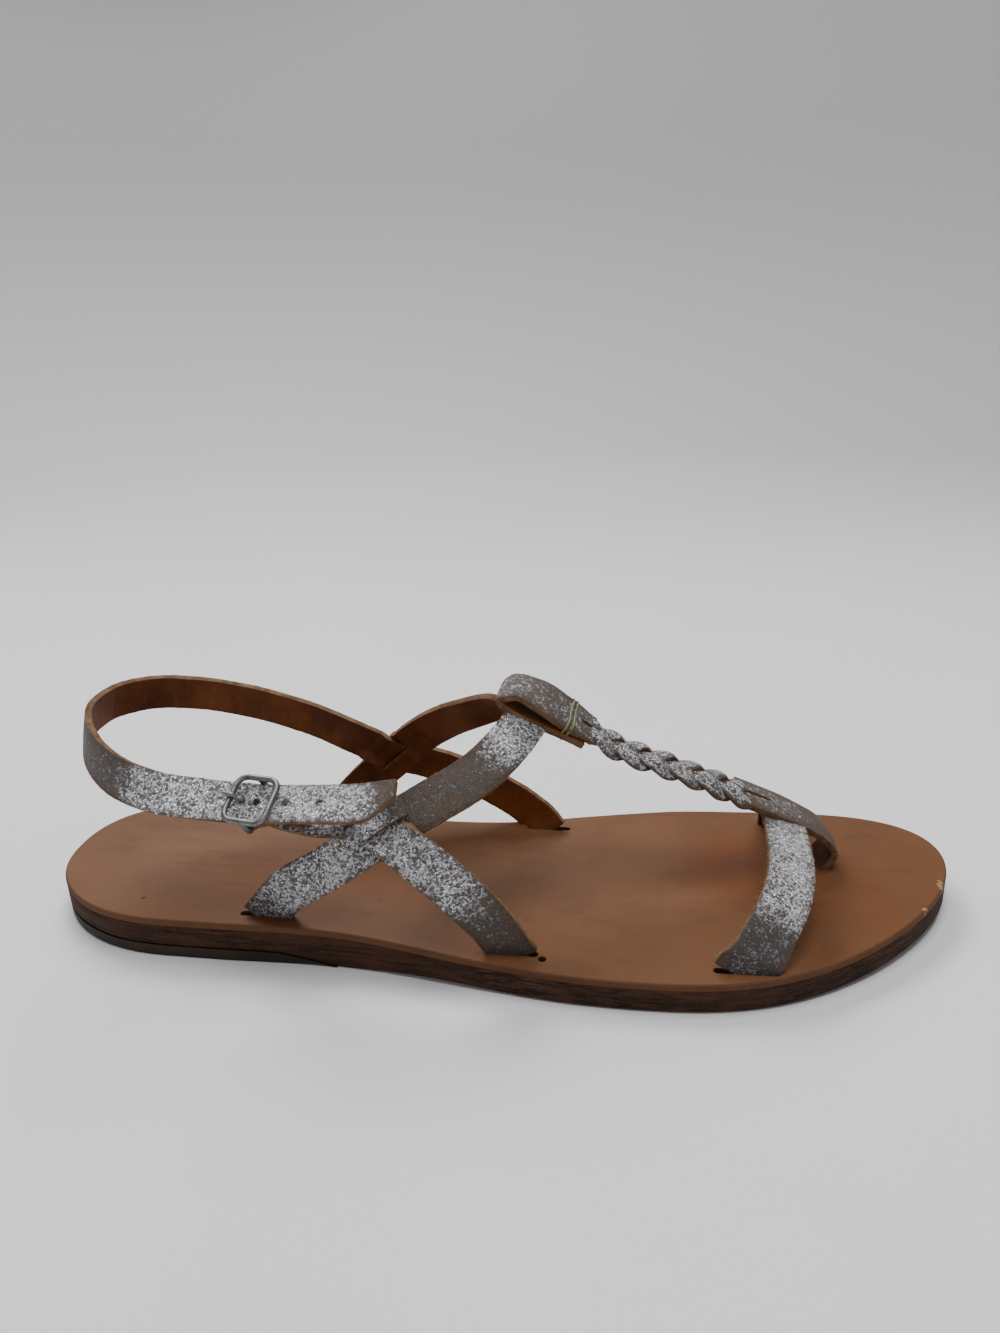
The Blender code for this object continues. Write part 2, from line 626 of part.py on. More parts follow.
def makeBuckle(frame, pieces, cutters):
    half = (ANKLE_WIDTH / 2 + BAR_GAP + BUCKLE_WIRE / 2, BUCKLE_LENGTH / 2 - BUCKLE_WIRE / 2)
    rim = BAR_STEP
    loop = []
    for quarter, (sx, sy) in enumerate(((1, 1), (-1, 1), (-1, -1), (1, -1))):
        for i in range(5):
            angle = math.pi / 2 * (quarter + i / 4)
            a = sx * (half[1] - BUCKLE_CORNER) + BUCKLE_CORNER * math.cos(angle)
            b = sy * (half[0] - BUCKLE_CORNER) + BUCKLE_CORNER * math.sin(angle)
            loop.append(inBuckle(frame, a, b, rim))
    ring = wireObject("buckle_frame", loop, BUCKLE_WIRE / 2, True, pieces)
    turn = BAR_TURN
    bar = [
        (half[0], rim + 0.0002), (half[0], rim - turn), (half[0], BAR_DEPTH + turn),
        (half[0] - turn * 0.3, BAR_DEPTH + turn * 0.3), (half[0] - turn, BAR_DEPTH),
    ]
    bar += [(-b, c) for b, c in bar[::-1]]
    staple = [inBuckle(frame, 0, b, c) for b, c in bar]
    boolean(ring, asCutter(wireObject("bar_form", staple, BUCKLE_WIRE / 2, False, cutters)), "UNION")
    radius = BUCKLE_WIRE / 2 + BAR_GAP + PRONG_WIRE / 2
    prong = []
    for degrees in range(150, -181, -30):
        angle = math.radians(degrees)
        prong.append((radius * math.cos(angle), BAR_DEPTH + radius * math.sin(angle)))
    over = rim + BUCKLE_WIRE / 2 + BAR_GAP + PRONG_WIRE / 2
    prong += [(-0.0024, -0.0018), (-0.0026, 0.0002), (-0.0029, 0.0022), (-0.0037, 0.0036)]
    prong += [(-half[1] + 0.0002, over + 0.0001), (-half[1] - 0.0020, over)]
    tongue = [inBuckle(frame, a, 0, c) for a, c in prong[1:]]
    return ring, wireObject("buckle_prong", tongue, PRONG_WIRE / 2, False, pieces)


def makeRivet(frame, pieces, cutters):
    middle = inBuckle(frame, RIVET_PLACE, 0, 0)
    inside = BAR_DEPTH - BAR_STEP - STRAP / 2 - LAYER_GAP
    place = (middle, frame[1], frame[2], frame[3])
    shank = peg("tab_rivet", place, RIVET_SHANK / 2, inside - 0.0002, -STRAP_STEP, pieces)
    head = peg("rivet_head_form", place, RIVET_HEAD / 2, inside - RIVET_HEAD_HEIGHT, inside, cutters)
    boolean(shank, asCutter(head), "UNION")
    return shank


def makeUpper(pieces, cutters):
    ankle = Run([runPoint(row) for row in ANKLE_STRAP], (True, False))
    frame = buckleFrame(ankle)
    runs = {
        "instep": Run([runPoint(row) for row in INSTEP_STRAP], (True, True)),
        "buckle": Run([runPoint(row) for row in BUCKLE_STRAP] + foldPairs(frame), (True, False)),
        "ankle": ankle,
        "loop": Run([runPoint(row) for row in FRONT_LOOP]),
        "post": Run([runPoint(row) for row in TOE_POST], (False, True)),
        "toe": Run([runPoint(row) for row in TOE_STRAP], (True, True)),
    }
    instep = (INSTEP_WIDTH, INSTEP_WIDTH)
    front = (FRONT_WIDTH, FRONT_WIDTH)
    entering = (INSTEP_WIDTH + BUCKLE_STRAP_EXTRA, FOLD_END_WIDTH)
    leaving = (INSTEP_WIDTH, ANKLE_WIDTH)
    toe = (TOE_WIDTH, TOE_WIDTH)
    upper = strap("upper", runs["instep"], instep, PITCH["instep"], pieces)
    others = [
        strap("buckle_strap_form", runs["buckle"], entering, PITCH["buckle"], cutters),
        strap("ankle_strap_form", ankle, leaving, PITCH["ankle"], cutters, TIP_CUT),
        strap("front_loop_form", runs["loop"], front, PITCH["loop"], cutters),
        strap("toe_post_form", runs["post"], front, PITCH["post"], cutters),
        strap("toe_strap_form", runs["toe"], toe, PITCH["toe"], cutters),
    ]
    others += braid("braid_form", BRAID, cutters)
    for form in others:
        boolean(upper, asCutter(form), "UNION")
        weld(upper)
    under = [
        (-0.006, lambda x: topAt(x) - INSOLE + LAYER_GAP),
        (-0.006, lambda x: -0.020),
    ]
    boolean(upper, asCutter(layer("sole_trim_cutter", 0, 1, 44, under, cutters)), "DIFFERENCE")
    wide = PRONG_WIRE + 2 * BAR_GAP
    spots = [
        ((PRONG_SLOT["length"], wide, PRONG_SLOT["depth"]), (-BAR_GAP, 0, BAR_DEPTH - BAR_GAP)),
        ((PRONG_HOLE["length"], wide, PRONG_HOLE["depth"]), (PRONG_HOLE["shift"], 0, 0)),
    ]
    for index, (size, offset) in enumerate(spots):
        boolean(upper, cutBox(f"prong_cutter_{index}", frame, size, offset, cutters), "DIFFERENCE")
    place = (inBuckle(frame, RIVET_PLACE, 0, 0), frame[1], frame[2], frame[3])
    inside = BAR_DEPTH - BAR_STEP - 2 * STRAP
    radius = RIVET_SHANK / 2 + SLOT_CLEARANCE
    hole = peg("rivet_cutter", place, radius, inside, -STRAP_STEP / 2, cutters)
    boolean(upper, asCutter(hole), "DIFFERENCE")
    for index in range(STRAP_HOLES):
        want = inBuckle(frame, STRAP_HOLE_PITCH * index + STRAP_HOLE_SHIFT, 0, 0).x
        distance = ankle.length
        while ankle.at(distance).x > want:
            distance -= 0.0002
        place = ankle.frame(distance)
        spot = peg(f"strap_hole_{index}", place, STRAP_HOLE / 2, -STRAP_STEP / 2, STRAP, cutters, 12)
        boolean(upper, asCutter(spot), "DIFFERENCE")
    weld(upper)
    return upper, runs, frame


group, cutters = clearScene()
sole = makeSole(group, cutters)
upper, runs, frame = makeUpper(group, cutters)
slotted = [
    ("instep", INSTEP_WIDTH, False), ("instep", INSTEP_WIDTH, True),
    ("buckle", INSTEP_WIDTH, False), ("ankle", INSTEP_WIDTH, False),
    ("toe", TOE_WIDTH, False), ("toe", TOE_WIDTH, True), ("post", FRONT_WIDTH, True),
]
for index, (name, width, last) in enumerate(slotted):
    cutter = slotCutter(f"slot_cutter_{index}", runs[name], width, last, cutters)
    boolean(sole[0], cutter, "DIFFERENCE")
ring, prong = makeBuckle(frame, group, cutters)
rivet = makeRivet(frame, group, cutters)
for piece in sole + [upper, ring, prong, rivet]:
    asPiece(piece)
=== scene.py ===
import math
import random

import bmesh
import bpy
import numpy as np
from mathutils import Matrix, Vector, noise


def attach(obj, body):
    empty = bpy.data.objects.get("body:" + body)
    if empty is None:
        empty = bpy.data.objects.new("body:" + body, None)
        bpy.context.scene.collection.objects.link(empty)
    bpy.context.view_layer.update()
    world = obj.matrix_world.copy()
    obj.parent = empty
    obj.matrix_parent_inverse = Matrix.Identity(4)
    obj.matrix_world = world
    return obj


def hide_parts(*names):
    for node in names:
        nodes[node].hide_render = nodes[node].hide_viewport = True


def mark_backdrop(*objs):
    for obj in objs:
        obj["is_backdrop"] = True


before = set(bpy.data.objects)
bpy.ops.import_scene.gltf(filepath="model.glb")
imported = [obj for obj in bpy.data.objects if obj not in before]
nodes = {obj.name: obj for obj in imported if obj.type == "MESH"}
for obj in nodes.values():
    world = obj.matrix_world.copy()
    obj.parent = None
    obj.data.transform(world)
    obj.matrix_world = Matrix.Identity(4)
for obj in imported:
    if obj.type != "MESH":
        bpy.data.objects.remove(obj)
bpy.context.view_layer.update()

print("Sandal: frame loaded,", len(nodes), "nodes")

# The shoe's own sizes, in metres: X heel to toe, Y to the big toe side, Z up
shoe = {
    "length": 0.266,
    "ballWidth": 0.087,
    "insole": 0.0020,
    "sole": 0.0086,
    "heelRise": 0.0036,
    "toeSpring": 0.0024,
    "instepRise": 0.0530,
    "strap": 0.0018,
    "root": 0.0080,         # how far a strap's run goes on below the insole
    "rootShown": 0.0019,    # and how much of that is made
    "layerGap": 0.0003,
}


# Shader maths as plain expressions: a Wire holds one socket of a material
class Wire:
    def __init__(self, finish, socket):
        self.finish = finish
        self.socket = socket

    def maths(self, operation, first, second=None, third=None):
        values = [v for v in (first, second, third) if v is not None]
        return self.finish.add("ShaderNodeMath", {"operation": operation}, dict(enumerate(values)))

    def __add__(self, other):
        return self.maths("ADD", self, other)

    def __radd__(self, other):
        return self.maths("ADD", other, self)

    def __sub__(self, other):
        return self.maths("SUBTRACT", self, other)

    def __rsub__(self, other):
        return self.maths("SUBTRACT", other, self)

    def __mul__(self, other):
        return self.maths("MULTIPLY", self, other)

    def __rmul__(self, other):
        return self.maths("MULTIPLY", other, self)

    def __truediv__(self, other):
        return self.maths("DIVIDE", self, other)

    def __rtruediv__(self, other):
        return self.maths("DIVIDE", other, self)

    def __pow__(self, other):
        return self.maths("POWER", self, other)

    def atLeast(self, other):
        return self.maths("MAXIMUM", self, other)

    def size(self):
        return self.maths("ABSOLUTE", self)

    # 0 below low, 1 above high, soft between; low may be the greater of the two
    def rise(self, low, high):
        inputs = {"Value": self, "From Min": low, "From Max": high}
        settings = {"interpolation_type": "SMOOTHSTEP"}
        if isinstance(low, (int, float)) and isinstance(high, (int, float)) and low > high:
            inputs = {"Value": self, "From Min": high, "From Max": low}
            inputs.update({"To Min": 1.0, "To Max": 0.0})
        return self.finish.add("ShaderNodeMapRange", settings, inputs)


class Finish:
    def __init__(self, name, **fixed):
        self.material = bpy.data.materials.new(name)
        self.material.use_nodes = True
        self.tree = self.material.node_tree
        self.shader = self.tree.nodes["Principled BSDF"]
        for socket, value in fixed.items():
            self.shader.inputs[socket.replace("_", " ")].default_value = value

    def add(self, kind, settings=None, inputs=None, out=0):
        node = self.tree.nodes.new(kind)
        for key, value in (settings or {}).items():
            setattr(node, key, value)
        for key, value in (inputs or {}).items():
            self.link(value, node.inputs[key])
        return Wire(self, node.outputs[out])

    def link(self, value, socket):
        if isinstance(value, Wire):
            self.tree.links.new(value.socket, socket)
        elif socket.type == "RGBA" and len(value) == 3:
            socket.default_value = (*value, 1)
        else:
            socket.default_value = value

    def place(self):
        return self.add("ShaderNodeTexCoord", out="Object")

    def axes(self, vector):
        split = self.add("ShaderNodeSeparateXYZ", inputs={"Vector": vector}, out="X")
        node = split.socket.node
        return split, Wire(self, node.outputs["Y"]), Wire(self, node.outputs["Z"])

    def lay(self, name="lay"):
        return self.add("ShaderNodeUVMap", {"uv_map": name})

    def scaled(self, vector, x, y, z):
        settings = {"operation": "MULTIPLY"}
        return self.add("ShaderNodeVectorMath", settings, {0: vector, 1: (x, y, z)})

    def moved(self, vector, other, amount):
        kind = "ShaderNodeVectorMath"
        shift = self.add(kind, {"operation": "SCALE"}, {0: other, "Scale": amount})
        return self.add(kind, {"operation": "ADD"}, {0: vector, 1: shift})

    def noise(self, vector, scale, detail=3.0, rough=0.5, out="Fac"):
        inputs = {"Vector": vector, "Scale": scale, "Detail": detail, "Roughness": rough}
        return self.add("ShaderNodeTexNoise", {}, inputs, out)

    def cells(self, vector, scale, feature="F1", out="Distance", randomness=1.0):
        inputs = {"Vector": vector, "Scale": scale, "Randomness": randomness}
        return self.add("ShaderNodeTexVoronoi", {"feature": feature}, inputs, out)

    def mix(self, factor, first, second, blend="MIX"):
        node = self.tree.nodes.new("ShaderNodeMix")
        node.data_type = "RGBA"
        node.blend_type = blend
        for value, index in ((factor, 0), (first, 6), (second, 7)):
            self.link(value, node.inputs[index])
        return Wire(self, node.outputs[2])

    def bump(self, height, distance, strength=1.0, under=None):
        inputs = {"Height": height, "Distance": distance, "Strength": strength}
        if under is not None:
            inputs["Normal"] = under
        return self.add("ShaderNodeBump", {}, inputs)

    def set(self, **sockets):
        for key, value in sockets.items():
            self.link(value, self.shader.inputs[key.replace("_", " ")])
        return self.material


# A soft round spot of the surface, 1 inside and 0 outside, stretched by its sizes
def spot(finish, place, centre, sizes, soft=0.5):
    x, y, z = finish.axes(place)
    far = ((x - centre[0]) / sizes[0]) ** 2 + ((y - centre[1]) / sizes[1]) ** 2
    return far.rise(1.0, 1.0 - soft)


foilLook = {
    "silver": (0.96, 0.96, 1.00),
    "dull": (0.120, 0.116, 0.118),
    "brown": (0.060, 0.032, 0.017),
    "taupe": (0.125, 0.078, 0.048),
    "crack": (0.016, 0.009, 0.006),
    # painted shade: the dark grey the foil is painted towards, standing in for dark reflections
    "shade": (0.066, 0.058, 0.054),
    "flake": 1900,              # flakes to the metre
    "grain": 760,               # and bumps of the leather under them
    "lost": (0.84, 0.98),       # from whole foil to bare leather
    "shining": (1.08, 1.56),    # from dull flakes to bright ones
}


# Crackled foil on leather. The wear layer holds how much foil is lost, and painted shade: how much
# darker grey the foil is painted, standing in for dark reflections
def foilFinish():
    finish = Finish("crackledFoil", Specular_IOR_Level=0.5)
    place = finish.place()
    worn, foilShade, _ = finish.axes(finish.lay("wearAndShade"))
    bent = finish.moved(place, finish.noise(place, 2300, 2.0, 0.6, "Color"), 0.0007)
    edge = finish.cells(bent, foilLook["flake"], "DISTANCE_TO_EDGE")
    tone, tilt, _ = finish.axes(finish.cells(bent, foilLook["flake"], "F1", "Color"))
    coarse = finish.noise(place, 130, 3.0, 0.55)
    patches = finish.noise(place, 700, 5.0, 0.7)
    fine = finish.noise(place, 6500, 4.0, 0.75)
    crumple = finish.noise(place, 2200, 5.0, 0.72)
    crack = 1.0 - edge.rise(0.02, 0.13)
    loss = patches * 0.8 + coarse * 0.30 + worn * 0.75 + fine * 0.22 + tone * 0.08
    loss = loss.rise(*foilLook["lost"])
    foil = (1.0 - crack * 0.75) * (1.0 - loss)
    # flakes brighter at random, and dimmed by the painted shade
    shine = tone * 0.55 + fine * 0.9 + crumple * 0.7 + coarse * 0.6 - foilShade * 0.38
    shine = shine.rise(*foilLook["shining"])
    metal = finish.mix(shine, foilLook["dull"], foilLook["silver"])
    # painted shade: the foil painted darker grey where the shade channel asks for it
    metal = finish.mix(foilShade * 0.55, metal, foilLook["shade"])
    under = finish.mix(patches.rise(0.35, 0.65), foilLook["brown"], foilLook["taupe"])
    base = finish.mix(crack * 0.75, under, foilLook["crack"])
    colour = finish.mix(foil, base, metal)
    height = edge.rise(0.0, 0.3) * 0.45 + tilt * 0.4 + fine * 0.35 + crumple * 1.6
    grain = finish.cells(place, foilLook["grain"], "SMOOTH_F1")
    normal = finish.bump(grain, 0.0005, 0.40)
    normal = finish.bump(height, 0.00026, 1.0, normal)
    return finish.set(
        Base_Color=colour,
        Metallic=foil * 0.95,
        Roughness=0.62 - foil * (0.12 + 0.28 * shine),
        Normal=normal,
    )


innerLook = {
    "tan": (0.150, 0.040, 0.0045),
    "dark": (0.062, 0.014, 0.0018),
    "pale": (0.24, 0.080, 0.016),
}


def innerFinish(name="tanLining", darker=0.0):
    finish = Finish(name, Specular_IOR_Level=0.28)
    place = finish.place()
    lay = finish.lay()
    cloud = finish.noise(place, 45, 4.0, 0.6)
    cross = finish.noise(finish.scaled(lay, 1.0, 0.22, 1.0), 900, 3.0, 0.6)
    pores = finish.cells(place, 2600, "F1")
    fold = finish.noise(finish.scaled(lay, 1.0, 0.12, 1.0), 230, 2.0, 0.5)
    colour = finish.mix(cloud.rise(0.35, 0.7), innerLook["dark"], innerLook["tan"])
    colour = finish.mix(cross.rise(0.52, 0.75) * 0.35, colour, innerLook["pale"])
    colour = finish.mix(fold.rise(0.60, 0.72) * 0.3, colour, innerLook["dark"])
    colour = finish.mix(darker, colour, innerLook["dark"])
    normal = finish.bump(cross * 0.7 + pores * 0.3, 0.00018, 0.8)
    normal = finish.bump(fold, 0.0007, 0.4, normal)
    return finish.set(
        Base_Color=colour,
        Roughness=0.50 + 0.16 * cross,
        Normal=normal,
    )


edgeLook = {
    "pale": (0.20, 0.115, 0.062),
    "tan": (0.095, 0.046, 0.021),
    "dark": (0.022, 0.010, 0.005),
}


def edgeFinish():
    finish = Finish("rawEdge", Roughness=0.9, Specular_IOR_Level=0.25)
    place = finish.place()
    cloud = finish.noise(place, 240, 4.0, 0.65)
    fibre = finish.noise(place, 2300, 4.0, 0.75)
    colour = finish.mix(cloud.rise(0.3, 0.7), edgeLook["tan"], edgeLook["pale"])
    colour = finish.mix(fibre.rise(0.55, 0.72) * 0.55, colour, edgeLook["dark"])
    normal = finish.bump(fibre, 0.00035, 0.9)
    return finish.set(Base_Color=colour, Normal=normal)


insoleLook = {
    "tan": (0.103, 0.041, 0.0140),
    "light": (0.126, 0.052, 0.0190),
    "dark": (0.070, 0.026, 0.0085),
    "rim": (0.105, 0.045, 0.0190),
    "rimDark": (0.060, 0.025, 0.011),
    "fresh": (0.30, 0.19, 0.12),        # leather laid bare by a nick
    "stain": (0.110, 0.032, 0.006),
    "stains": (                         # centre, half sizes and strength
        ((0.073, 0.012), (0.021, 0.026), 0.75),
        ((0.102, -0.006), (0.016, 0.024), 0.45),
        ((-0.022, -0.010), (0.020, 0.016), 0.30),
        ((-0.040, -0.026), (0.013, 0.005), 0.35),
        ((0.093, -0.030), (0.012, 0.008), 0.30),
    ),
    "pitTone": (0.012, 0.005, 0.003),
    "pit": ((-0.0974, -0.0213), (0.0007, 0.0005)),
    "faintPits": ((-0.029, -0.0168), (-0.024, -0.0180), (0.030, 0.0100)),
    "nicks": (((0.1277, 0.0001), (0.0012, 0.0035)), ((0.1200, -0.0105), (0.0010, 0.0012))),
}


def insoleFinish():
    finish = Finish("bridleLeather", Specular_IOR_Level=0.20)
    place = finish.place()
    face = finish.axes(finish.add("ShaderNodeNewGeometry", out="Normal"))[2]
    flat = face.rise(0.90, 0.985)
    cloud = finish.noise(place, 22, 4.0, 0.6)
    smear = finish.noise(finish.scaled(place, 0.45, 1.0, 1.0), 70, 4.0, 0.65)
    grain = finish.noise(place, 1500, 4.0, 0.7)
    pores = finish.cells(place, 3000, "F1")
    colour = finish.mix(cloud.rise(0.32, 0.68), insoleLook["tan"], insoleLook["light"])
    colour = finish.mix(smear.rise(0.50, 0.74) * 0.45, colour, insoleLook["dark"])
    colour = finish.mix((grain - 0.5).size().rise(0.0, 0.3) * 0.25, colour, insoleLook["light"])
    for centre, sizes, amount in insoleLook["stains"]:
        mask = spot(finish, place, centre, sizes, 0.95) * amount * (0.5 + cloud)
        colour = finish.mix(mask, colour, insoleLook["stain"])
    # painted shade: the insole painted darker in streaks towards the heel, standing in for the
    # straps' shade and the light falling off there
    heelShadeStreaks = finish.noise(finish.scaled(place, 0.2, 1.0, 1.0), 260, 3.0, 0.6)
    heelShade = spot(finish, place, (-0.082, 0.0), (0.042, 0.034), 0.9)
    colour = finish.mix(heelShade * heelShadeStreaks.rise(0.45, 0.7) * 0.35, colour, insoleLook["dark"])
    marks = spot(finish, place, *insoleLook["pit"], 0.4)
    for centre in insoleLook["faintPits"]:
        marks = marks.atLeast(spot(finish, place, centre, (0.0009, 0.0006), 0.8) * 0.25)
    colour = finish.mix(marks, colour, insoleLook["pitTone"])
    nicks = spot(finish, place, *insoleLook["nicks"][0], 0.6)
    nicks = nicks.atLeast(spot(finish, place, *insoleLook["nicks"][1], 0.6))
    nicks = nicks * finish.noise(place, 1200, 2.0, 0.6).rise(0.42, 0.55)
    rim = finish.mix(smear.rise(0.4, 0.7) * 0.6, insoleLook["rim"], insoleLook["rimDark"])
    colour = finish.mix(1.0 - flat, colour, rim)
    colour = finish.mix(nicks, colour, insoleLook["fresh"])
    normal = finish.bump(grain * 0.6 + pores * 0.4, 0.00010, 0.55)
    normal = finish.bump(smear + marks * -0.8, 0.0006, 0.35, normal)
    return finish.set(
        Base_Color=colour,
        Roughness=0.56 + 0.12 * smear + 0.14 * (1.0 - flat),
        Normal=normal,
    )


soleLook = {
    "body": (0.070, 0.029, 0.015),
    "light": (0.125, 0.062, 0.036),
    "dark": (0.020, 0.008, 0.004),
    "under": (0.100, 0.050, 0.028),
    "crack": (0.010, 0.004, 0.002),
}


def soleEdgeFinish():
    finish = Finish("soleEdge", Specular_IOR_Level=0.2)
    place = finish.place()
    face = finish.axes(finish.add("ShaderNodeNewGeometry", out="Normal"))[2]
    under = face.rise(-0.85, -0.97)
    streak = finish.noise(finish.scaled(place, 0.06, 0.06, 1.0), 1500, 5.0, 0.62)
    broad = finish.noise(finish.scaled(place, 0.14, 0.14, 1.0), 420, 3.0, 0.6)
    speck = finish.noise(place, 1900, 4.0, 0.75)
    cloud = finish.noise(place, 60, 3.0, 0.6)
    cracks = finish.noise(finish.scaled(place, 0.055, 0.055, 1.0), 900, 4.0, 0.6)
    cracks = (cracks - 0.5).size().rise(0.035, 0.0) * cloud.rise(0.42, 0.60)
    layers = (streak * 0.6 + broad * 0.5).rise(0.38, 0.72)
    colour = finish.mix(layers, soleLook["dark"], soleLook["body"])
    colour = finish.mix(speck.rise(0.50, 0.72) * 0.60, colour, soleLook["light"])
    colour = finish.mix(cloud.rise(0.5, 0.8) * 0.4, colour, soleLook["light"])
    colour = finish.mix(cracks * 0.85, colour, soleLook["crack"])
    below = finish.mix(speck.rise(0.35, 0.7), soleLook["under"], soleLook["body"])
    colour = finish.mix(under, colour, below)
    normal = finish.bump(speck, 0.00030, 0.8)
    normal = finish.bump(streak * 0.6 + broad * 0.4 - cracks * 0.7, 0.0010, 0.85, normal)
    return finish.set(Base_Color=colour, Roughness=0.74 + 0.18 * speck, Normal=normal)


def rubberFinish():
    finish = Finish("heelRubber", Specular_IOR_Level=0.25)
    place = finish.place()
    speck = finish.noise(place, 1500, 3.0, 0.7)
    cloud = finish.noise(finish.scaled(place, 0.3, 0.3, 1.0), 180, 3.0, 0.6)
    colour = finish.mix(cloud.rise(0.35, 0.7), (0.014, 0.009, 0.005), (0.032, 0.021, 0.012))
    colour = finish.mix(speck.rise(0.60, 0.75) * 0.3, colour, (0.08, 0.06, 0.04))
    return finish.set(
        Base_Color=colour, Roughness=0.55 + 0.2 * cloud, Normal=finish.bump(speck, 0.0002, 0.45)
    )


def metalFinish(name, tone, tarnish):
    finish = Finish(name)
    place = finish.place()
    cloud = finish.noise(place, 420, 4.0, 0.6)
    speck = finish.noise(place, 2400, 3.0, 0.7)
    rust = (cloud + speck * 0.3).rise(0.62, 0.85)
    colour = finish.mix(rust * tarnish, tone, tuple(v * 0.22 for v in tone))
    return finish.set(
        Base_Color=colour,
        Metallic=1.0 - rust * 0.3,
        Roughness=0.30 + 0.30 * cloud,
        Normal=finish.bump(cloud * 0.6 + speck * 0.4, 0.00012, 0.7),
    )


def threadFinish():
    finish = Finish("waxedThread", Roughness=0.6)
    place = finish.place()
    twist = finish.noise(place, 2600, 2.0, 0.6)
    colour = finish.mix(twist.rise(0.35, 0.65), (0.060, 0.068, 0.020), (0.24, 0.25, 0.10))
    return finish.set(Base_Color=colour, Normal=finish.bump(twist, 0.0002, 0.8))


def fibreFinish():
    finish = Finish("leatherFibre", Roughness=0.85)
    cloud = finish.noise(finish.place(), 400, 2.0, 0.5)
    return finish.set(Base_Color=finish.mix(cloud, (0.20, 0.10, 0.045), (0.45, 0.30, 0.18)))


foil = foilFinish()
inner = innerFinish()
rawEdge = edgeFinish()
darkInner = innerFinish("darkLining", 0.55)
pewter = metalFinish("pewter", (0.21, 0.205, 0.20), 0.8)
fibreColour = fibreFinish()
print("Sandal: finishes made")

nodes["tab_rivet"].material_slots[0].material = metalFinish("darkRivet", (0.10, 0.09, 0.08), 0.9)


# A mesh under construction becomes a piece of the scene
def pieceFrom(work, name, *materials):
    mesh = bpy.data.meshes.new(name)
    work.to_mesh(mesh)
    work.free()
    for material in materials:
        mesh.materials.append(material)
    obj = bpy.data.objects.new(name, mesh)
    bpy.context.scene.collection.objects.link(obj)
    return obj


# 0 up to 0, 1 from 1 on, soft between
def ease(t):
    t = min(max(t, 0.0), 1.0)
    return t * t * (3 - 2 * t)


def topAt(x):
    share = min(max(x / shoe["length"] + 0.5, 0.0), 1.0)
    rise = shoe["heelRise"] * (1 - ease((share - 0.25) / 0.35))
    return shoe["sole"] + rise + shoe["toeSpring"] * max((share - 0.74) / 0.26, 0.0) ** 2


# A smooth curve through the values at the places given, as one cubic between each two
def smoothThrough(places, values, at):
    slopes = np.gradient(values, places, axis=0)
    k = int(np.clip(np.searchsorted(places, at) - 1, 0, len(places) - 2))
    span = places[k + 1] - places[k]
    t = (at - places[k]) / span
    return (
        (2 * t**3 - 3 * t**2 + 1) * values[k]
        + (t**3 - 2 * t**2 + t) * span * slopes[k]
        + (3 * t**2 - 2 * t**3) * values[k + 1]
        + (t**3 - t**2) * span * slopes[k + 1]
    )


# A strap's way through the air. A row holds the place along the sole as a share of its length,
# across as a share of half its width, up as a share of the instep rise, and where the face looks
class Run:
    def __init__(self, rows, rooted=(False, False), pairs=()):
        made = [self.fromRow(row) for row in rows] + list(pairs)
        points = [p for p, face in made]
        faces = [face for p, face in made]
        root = shoe["root"]
        if rooted[0]:
            points.insert(0, points[0] + root * (points[0] - points[1]).normalized())
            faces.insert(0, faces[0])
        if rooted[1]:
            points.append(points[-1] + root * (points[-1] - points[-2]).normalized())
            faces.append(faces[-1])
        self.points = np.array(points)
        self.faces = np.array(faces)
        steps = np.linalg.norm(np.diff(self.points, axis=0), axis=1)
        self.places = np.concatenate([[0], np.cumsum(steps)])
        self.length = float(self.places[-1])
        hidden = root - shoe["rootShown"]
        self.start = hidden if rooted[0] else 0.0
        self.end = self.length - (hidden if rooted[1] else 0.0)

    def fromRow(self, row):
        along, across, up, azimuth, elevation = row
        x = (along - 0.5) * shoe["length"]
        place = Vector((x, across * shoe["ballWidth"] / 2, topAt(x) + up * shoe["instepRise"]))
        a, e = math.radians(azimuth), math.radians(elevation)
        return place, Vector((math.cos(e) * math.cos(a), math.cos(e) * math.sin(a), math.sin(e)))

    def at(self, distance):
        return Vector(smoothThrough(self.places, self.points, distance))

    # Middle, the way along, across the strap, and out of its face
    def frame(self, distance):
        step = 0.0004
        along = (self.at(distance + step) - self.at(distance - step)).normalized()
        face = Vector(smoothThrough(self.places, self.faces, distance))
        out = (face - face.dot(along) * along).normalized()
        return self.at(distance), along, along.cross(out), out

    def nearest(self, point):
        distances = np.linspace(self.start, self.end, 400)
        gaps = [(self.at(d) - point).length for d in distances]
        return float(distances[int(np.argmin(gaps))])


instepRows = [
    (0.279, -0.610, 0.000, -90, 0),
    (0.314, -0.655, 0.200, -92, 14),
    (0.352, -0.680, 0.330, -90, 26),
    (0.412, -0.665, 0.555, -84, 38),
    (0.453, -0.610, 0.690, -76, 46),
    (0.500, -0.430, 0.800, -62, 52),
    (0.541, -0.160, 0.955, -40, 58),
    (0.549, 0.025, 1.000, 0, 60),
    (0.531, 0.150, 0.988, 45, 52),
    (0.468, 0.358, 0.842, 78, 30),
    (0.416, 0.560, 0.640, 86, 16),
    (0.372, 0.672, 0.415, 90, 8),
    (0.335, 0.690, 0.235, 90, 4),
    (0.292, 0.620, 0.000, 90, 0),
]
buckleRows = [
    (0.540, -0.790, 0.000, -90, 0),
    (0.517, -0.825, 0.200, -90, 12),
    (0.494, -0.838, 0.335, -88, 24),
    (0.466, -0.815, 0.455, -86, 32),
    (0.440, -0.762, 0.530, -85, 37),
    (0.417, -0.690, 0.568, -88, 41),
    (0.396, -0.638, 0.590, -93, 45),
    (0.366, -0.630, 0.606, -97, 50),
    (0.344, -0.640, 0.617, -100, 53),
    (0.322, -0.654, 0.644, -102, 55),
    (0.309, -0.674, 0.674, -104, 57),
]
